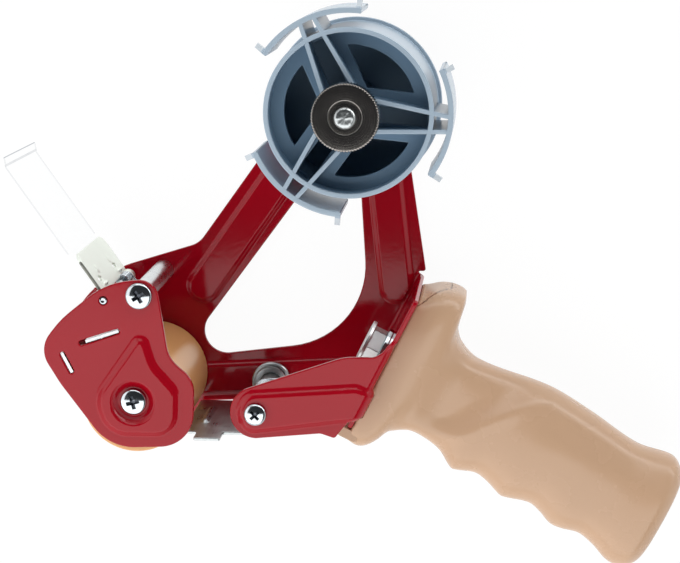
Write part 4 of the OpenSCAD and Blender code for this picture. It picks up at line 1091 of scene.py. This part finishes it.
half_film = [(3.95, -NECK_HALF, 0.6), (BRACKET_LEN + 1.5, -NECK_HALF, 0.6), (BRACKET_LEN + 1.6, -FILM_HALF, 0.6),
             (FILM_LEN - 0.1, -FILM_HALF, 0.8)]
film_outline = rounded(half_film + [(x, -z, r) for x, z, r in reversed(half_film)], 15)
film_loops = [spaced(film_outline, 1.5)] + [circle((RIVET_X, z), 1.3, hole=True) for z in RIVET_Z]
tip_rows = np.array([(x, z) for x in np.linspace(film_bend - 1.2, FILM_LEN - 0.8, 9)
                     for z in np.arange(-22.5, 23, 2.5)])
film_shell = sheet_shell(film_loops, film_skin, FILM_T, 0.2, 2, tip_rows)[:2]
piece("wiper_film", turned(film_shell, FLAP), "flap", ["wiper_flap"], "clear_film", FILM)

# %% [markdown]
# ## The tape retainer
# A zinc plate under the frame keeps the tape from running back. It could stay the CAD's plain solid, but the real
# one is sheet with a pressed bead, a tongue for a fingertip and two ears on the cross pin, so it is drawn flat as
# the front plate is, and turned to lie under the pin.

# %% Retainer plate, bead and ears
RETAINER_T, RETAINER_DROP, EAR_R, EAR_Z = 1.2, 8.4, 6.6, (6.5, 47.3)
RETAINER_X, RETAINER_Z, TONGUE_X, TONGUE_END, BEAD_X = (-28.6, 5), (3.5, 51.5), (-22.8, -12.9), 60.6, -21.8
retainer_corners = [(RETAINER_X[0], RETAINER_Z[0], 1.5), (RETAINER_X[1], RETAINER_Z[0], 1.5),
                    (RETAINER_X[1], RETAINER_Z[1], 1.5), (TONGUE_X[1], RETAINER_Z[1], 0.6),
                    (TONGUE_X[1], TONGUE_END, 0.8), (TONGUE_X[0], TONGUE_END, 0.8),
                    (TONGUE_X[0], RETAINER_Z[1], 0.6), (RETAINER_X[0], RETAINER_Z[1], 1.5)]
retainer_loops = [even(retainer_corners, 15, 2.0)]
bead = Press(capsule((BEAD_X, 17.0), (BEAD_X, 38.0), 1.9, 0.6), -1.1, 1.5)
retainer_points = lattice(retainer_loops, 4.0, 0.9, [bead])
retainer_sheet = sheet_shell(retainer_loops, level_at(RETAINER_DROP + RETAINER_T / 2), RETAINER_T, 0.3, 3,
                             retainer_points, [bead])[:2]
ear_corners = [(-EAR_R, -9.2, 0.4), (5.2, -9.2, 0.4), (EAR_R, EAR_R, 6.4), (-EAR_R, EAR_R, 6.4)]
ear_loops = [even(ear_corners, 15, 1.5), circle((0, 0), 4.25, hole=True)]
at_pin = Matrix.Translation((*REAR, 0))
retainer_shells = [turned(retainer_sheet, at_pin @ Matrix.Rotation(math.pi / 2, 4, "X"))]
retainer_shells += [turned(slab(ear_loops, z, z + RETAINER_T), at_pin) for z in EAR_Z]
piece("retainer_plate", joined(*retainer_shells), "retainer", ["tape_retainer"], "zinc", DULL)

# %% [markdown]
# ## The springs
# Two torsion springs turn the flap and the retainer back, and a coil spring presses the brake. Stacked rings would do
# from afar, but a wire swept along a helix shows its pitch and its legs. The brake's spring stands on the frame and
# its near end goes with the sliding washer, so it is put on neither body.

# %% Springs as smooth drawn wire
TORSION_WIRE, BRAKE_WIRE, TURN_STEPS = 0.45, 0.6, 40


def coil(radius, pitch, turns, start, leg, centre):
    """Helix with two straight legs."""
    count = int(turns * TURN_STEPS)
    k = np.linspace(0, turns, count + 1)
    angle = start + 2 * math.pi * k
    path = np.stack([radius * np.cos(angle), radius * np.sin(angle), pitch * k], axis=1)
    if leg:
        first, last = (end + leg * unit(end - near) for end, near in ((path[0], path[1]), (path[-1], path[-2])))
        path = np.concatenate([[first], path, [last]])
    return path + centre


flap_path = coil(2.4, 1.5, 5.25, FLAP_LEAN - math.pi / 2, 6.0, (*PIN, 9.8))
rear_path = coil(4.9, 1.5, 6.25, math.pi / 2, 7.0, (*REAR, Z_MID - 4.6875))
brake_path = coil(6.4, 2.08, 2.5, 0.0, 0, (0, 0, 50.8))
piece("flap_coil_spring", tube(flap_path, TORSION_WIRE), "frame", ["flap_spring"], "zinc", BRIGHT)
piece("retainer_coil_spring", tube(rear_path, TORSION_WIRE), "frame", ["retainer_spring"], "zinc", BRIGHT)
brake_coil = piece("brake_coil_spring", tube(brake_path, BRAKE_WIRE), None, ["brake_spring"], "zinc", ZINC)
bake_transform(brake_coil)

# %% [markdown]
# ## The moulded grip
# A beige pistol grip with finger grooves, a thumb hollow on each side, a pocket behind the flange and a lip under
# it. It could be sculpted, but a loft through a top line, a bottom line and a width keeps it on the CAD. Each ring
# is a rounded square, and the hollow and its ridge are pushed into the sides.

# %% Lines of the grip, as shares of its length
GRIP_LEN, COLLAR_HALF, WAIST_HALF, END_ROUND = 121.0, 20.0, 16.0, 6.0
TOP_LINE = [(0, 28.4), (0.05, 32.4), (0.085, 34.2), (0.125, 34.4), (0.138, 32.6), (0.147, 26), (0.157, 21),
            (0.19, 16.2), (0.265, 13.4), (0.5, 16.7), (0.66, 15.2), (0.83, 12.4), (0.94, 14.3), (1, 13)]
LOW_LINE = [(0, -35), (0.037, -35.6), (0.062, -34.4), (0.087, -30.8), (0.105, -26.2), (0.124, -24.4), (0.165, -21.8),
            (0.215, -21.9), (0.28, -23.9), (0.325, -27.4), (0.343, -28.5), (0.36, -28.1), (0.415, -25.8),
            (0.46, -26.7), (0.505, -28.8), (0.522, -29.4), (0.54, -29), (0.61, -26.7), (0.655, -28), (0.69, -29.9),
            (0.71, -30.4), (0.74, -30), (0.793, -28.5), (0.85, -30), (0.92, -33.1), (1, -31.5)]
SIDE_LINE = [(0, COLLAR_HALF), (0.07, COLLAR_HALF), (0.09, COLLAR_HALF - 0.4), (0.13, COLLAR_HALF - 1.8),
             (0.2, WAIST_HALF + 0.6), (0.32, WAIST_HALF - 0.6),
             (0.6, WAIST_HALF + 0.4), (0.82, WAIST_HALF - 0.4), (0.95, WAIST_HALF + 1), (1, WAIST_HALF)]
SQUARE_LINE = [(0, 5), (0.12, 4), (0.3, 2.6), (1, 2.5)]


def along(knots, s):
    """Smooth line through the knots, level at both ends."""
    x, y = np.array(knots, float).T
    slope = np.zeros(len(x))
    slope[1:-1] = (y[2:] - y[:-2]) / (x[2:] - x[:-2])
    i = np.clip(np.searchsorted(x, s) - 1, 0, len(x) - 2)
    width = x[i + 1] - x[i]
    t = np.clip((s - x[i]) / width, 0, 1)
    a, b = slope[i] * width, slope[i + 1] * width
    rise = y[i + 1] - y[i]
    return y[i] + t * (a + t * (3 * rise - 2 * a - b + t * (-2 * rise + a + b)))


# %% Rings of the grip with the thumb hollow and its ridge
GRIP_SIDES, SEAT_GAP, FRONT_RUN, FRONT_IN = 120, 0.05, 1.2, 1.0
HOLLOW_DEEP, RIDGE_HIGH, PALM_DEEP = 3.3, 0.9, 1.2
RIDGE = np.array([(33, -19), (36.6, -14.6), (41.7, -8), (47.8, 0.1), (52.8, 6.6), (58.9, 12.8), (65.9, 17.4),
                  (74, 20)])


def thumb_press(x, y):
    """How far each side is pushed in (negative) or out, at a place on the grip."""
    off = 0.76 * (x - np.interp(y, RIDGE[:, 1], RIDGE[:, 0]))
    hollow = -HOLLOW_DEEP * soft(-off / 9) * soft((x - 12) / 17) * soft((y + 19) / 10)
    ridge = RIDGE_HIGH * np.exp(-(off / 2.6) ** 2) * soft((y + 20) / 8)
    palm = -PALM_DEEP * np.exp(-(((y - 8.0) / 4.5) ** 2)) * soft((x - 56) / 12)
    return hollow + ridge + palm


steps = np.concatenate([np.linspace(0, 0.012, 5), np.linspace(0.02, 0.95, 118),
                        1 - END_ROUND / GRIP_LEN * (1 - np.sin(np.radians(np.linspace(6, 90, 12))))])
rings = []
for s in steps:
    x = s * GRIP_LEN
    past = max(0.0, x - (GRIP_LEN - END_ROUND)) / END_ROUND
    inset = END_ROUND * (1 - math.sqrt(max(0.0, 1 - past * past)))
    front = max(0.0, FRONT_RUN - x) / FRONT_RUN
    inset += FRONT_IN * (1 - math.sqrt(max(0.0, 1 - front * front)))
    top, low = along(TOP_LINE, s) - inset, along(LOW_LINE, s) + inset
    half, power = along(SIDE_LINE, s) - inset, 2 / along(SQUARE_LINE, s)
    turn = 2 * math.pi * (np.arange(GRIP_SIDES) + 0.5) / GRIP_SIDES
    cos, sin = np.cos(turn), np.sin(turn)
    y = (top + low) / 2 + (top - low) / 2 * np.sign(cos) * np.abs(cos) ** power
    side = np.sign(sin) * np.abs(sin) ** power
    z = half * side + thumb_press(x, y) * side * np.abs(side) * (1 - past)
    rings.append(np.column_stack([np.full(GRIP_SIDES, x + SEAT_GAP), y, Z_MID + z]))
GRIP_PLACE = Matrix(((BACK[0], UP[0], 0, GRIP[0]), (BACK[1], UP[1], 0, GRIP[1]), (0, 0, 1, 0), (0, 0, 0, 1)))
grip = solid("grip_moulding", turned(loft(rings), GRIP_PLACE))

# %% Pocket open to the flange, bolt bore and room for the arm's heel
STAND = Matrix(((1, 0, 0, 0), (0, 0, 1, 0), (0, 1, 0, Z_MID), (0, 0, 0, 1)))
POCKET_FROM, POCKET_TO, HEEL_FROM, HEEL_TO = 10, 36, 40, 60
pocket_corners = [(-2, -17, 0.5), (2.5, -17, 2), (9.6, -12, 3), (10.2, 3, 3), (1.5, 17, 2), (-2, 17, 0.5)]
pocket = slab([even(pocket_corners, 10, 2.0)], POCKET_FROM, POCKET_TO, 0.9, 3)
cut(grip, solid("pocket", turned(pocket, GRIP_PLACE @ STAND)))
bore_profile = [(0, -1), (4.1, -1), (4.1, 4), (6.22, 4), (6.22, 22), (4.1, 22), (4.1, 24), (0, 24)]
cut(grip, solid("bore", turned(revolve(bore_profile, steps=48, closed=False), LAY)))
heel_corners = [(-1, -25.4, 0.4), (1.9, -22.2, 1), (1.9, -12.4, 1), (-1, -9.4, 0.4)]
heel_room = slab([even(heel_corners, 15, 2.0)], HEEL_FROM, HEEL_TO)
cut(grip, solid("heel_room", turned(heel_room, GRIP_PLACE)))

# %% The lip under the flange, joined to the grip's mesh
lip_corners = [(-4.4, -33.3, 1.3), (4.2, -33.3, 1.3), (4.2, -28.9, 1.3), (-4.4, -28.9, 1.3)]
LIP_ENDS = [(9.8, 0.2), (10.2, 0.08), (11.2, 0.0), (43.8, 0.0), (44.8, 0.08), (45.2, 0.2)]
outline = rounded(lip_corners, 15)
inwards = outline.mean(axis=0) - outline
lip_rings = [np.column_stack([outline + inwards * shrink, np.full(len(outline), z)]) for z, shrink in LIP_ENDS]
lip = solid("lip", turned(loft(lip_rings), GRIP_PLACE))
grown = bmesh.new()
for moulding in (grip, lip):
    grown.from_mesh(moulding.data)
grown.to_mesh(grip.data)
grown.free()
bpy.data.objects.remove(lip)
dress(grip, "frame", ["handle_grip"], "grip_beige", GRIP_PLASTIC)

# %% [markdown]
# ## Parts that keep their CAD shape
# Washers, bushes, the roller's core and the cutter are plain shapes that sit inside, so the CAD solids stay.
# Each gets its finish, and a small bevel gives the stamped and turned edges a glint.

# %% Finishes and bevels on the CAD nodes
CAD_FINISH = {
    "handle_insert": BRONZE, "roller_axle": ZINC, "roller_washers": NYLON, "blade_holder": ZINC,
    "cutter_blade": BLADE, "blade_rivets": BRIGHT, "hub_bush": BRONZE, "friction_washer": FIBRE,
    "pressure_washer": TURNED, "thrust_washer": TURNED, "roller_core": NYLON, "roller_bushes": BRONZE,
}
EDGE, EDGE_FROM = 0.00018, math.radians(40)
for name, material in CAD_FINISH.items():
    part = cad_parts[name]
    part.data.materials.clear()
    part.data.materials.append(material)
    weld = part.modifiers.new("weld", "WELD")
    weld.merge_threshold = 1e-6
    bevel = part.modifiers.new("bevel", "BEVEL")
    bevel.width, bevel.segments, bevel.limit_method, bevel.angle_limit = EDGE, 2, "ANGLE", EDGE_FROM
print("CAD parts dressed", len(CAD_FINISH))

# %% [markdown]
# ## Studio
# The object lies on a white sweep. A large soft panel overhead on the near left lights it, so the near plate
# mirrors it and goes pale while the far legs, which mirror the dark ceiling, stay deep red. A low panel at the
# upper right lights the sides of the roller, the hub and the grip, and two more at the left and the back
# fill the hub. The white comes from the floor's own colour for camera, glossy and clear rays, and the floor
# still takes the shadow. The camera stands where the photograph was taken from.

# %% Floor
FLOOR_REACH, FLOOR_Z, WHITE_SHARE = 4000, -0.6, 0.92


def sweep_material():
    """Pale paper that rays from the camera, mirrors and clear film see mostly as white."""
    made = bpy.data.materials.new("white sweep")
    made.use_nodes = True
    tree = made.node_tree
    tree.nodes.clear()
    out = tree.nodes.new("ShaderNodeOutputMaterial")
    paper = node(tree, "ShaderNodeBsdfDiffuse", Color=(0.86, 0.86, 0.86, 1.0))
    glow = node(tree, "ShaderNodeEmission", Color=(1.0, 1.0, 1.0, 1.0), Strength=1.03)
    rays = tree.nodes.new("ShaderNodeLightPath").outputs
    mirrored = maths(tree, "MAXIMUM", rays["Is Glossy Ray"], rays["Is Transmission Ray"])
    seen = maths(tree, "MULTIPLY", maths(tree, "MAXIMUM", rays["Is Camera Ray"], mirrored), WHITE_SHARE)
    mix = node(tree, "ShaderNodeMixShader", [(seen, 0), (paper.outputs[0], 1), (glow.outputs[0], 2)])
    tree.links.new(mix.outputs[0], out.inputs["Surface"])
    return made


floor_corners = [(x * FLOOR_REACH, y * FLOOR_REACH, FLOOR_Z) for x, y in ((-1, -1), (1, -1), (1, 1), (-1, 1))]
floor = solid("floor", (floor_corners, [(0, 1, 2, 3)]))
floor.data.materials.append(sweep_material())

# %% Soft panels and sky
def panel(name, at, aim, size, radiance):
    """Soft box of an even radiance at one place (metres), facing another."""
    lamp = bpy.data.lights.new(name, "AREA")
    lamp.shape = "RECTANGLE"
    lamp.size, lamp.size_y = size
    lamp.energy = radiance * math.pi * lamp.size * lamp.size_y
    made = bpy.data.objects.new(name, lamp)
    made.location = at
    made.rotation_euler = (Vector(at) - Vector(aim)).to_track_quat("Z", "Y").to_euler()
    scene.collection.objects.link(made)


panel("key panel", (-0.8, -1.2025, 0.8), (-0.8, -1.2025, 0.0), (2.8, 1.995), 2.0)
panel("side panel", (0.95, 0.85, 0.24), (0.0, -0.05, 0.04), (1.5, 0.4), 3.5)
panel("left panel", (-1.5, 0.4, 0.8), (-1.5, 0.4, 0.0), (1.6, 1.2), 1.5)
panel("back panel", (0.1, 1.6, 0.8), (0.1, 1.6, 0.0), (1.8, 1.4), 2.2)

world = bpy.data.worlds.new("white tent")
scene.world = world
world.use_nodes = True
sky = world.node_tree
direction = sky.nodes.new("ShaderNodeTexCoord").outputs["Generated"]
height = node(sky, "ShaderNodeSeparateXYZ", [(direction, "Vector")]).outputs["Z"]
ramp = node(sky, "ShaderNodeValToRGB", [(height, "Fac")])
SKY_STOPS = [(0.15, (1.0, 1.0, 1.0, 1.0)), (0.5, (0.04, 0.042, 0.045, 1.0))]
for stop, (position, colour) in zip(ramp.color_ramp.elements, SKY_STOPS):
    stop.position, stop.color = position, colour
sky.links.new(ramp.outputs["Color"], sky.nodes["Background"].inputs["Color"])
sky.nodes["Background"].inputs["Strength"].default_value = 1.0

# %% Camera at the photograph's place
CAMERA_AT = Vector((0.058038, 0.075105, 0.765))
RIGHT, OVER = Vector((0.996391, 0, -0.084878)), Vector((-0.015911, 0.982273, -0.186781))
BEHIND = Vector((0.083373, 0.187457, 0.978728))
lens = bpy.data.cameras.new("camera")
lens.lens, lens.sensor_width, lens.sensor_fit = 105.0, 36.0, "HORIZONTAL"
lens.clip_start, lens.clip_end = 0.01, 20.0
camera = bpy.data.objects.new("camera", lens)
camera.matrix_world = Matrix.Translation(CAMERA_AT) @ Matrix((RIGHT, OVER, BEHIND)).transposed().to_4x4()
scene.collection.objects.link(camera)
scene.camera = camera
scene.view_settings.view_transform = "Standard"

# %% Update the scene
bpy.context.view_layer.update()
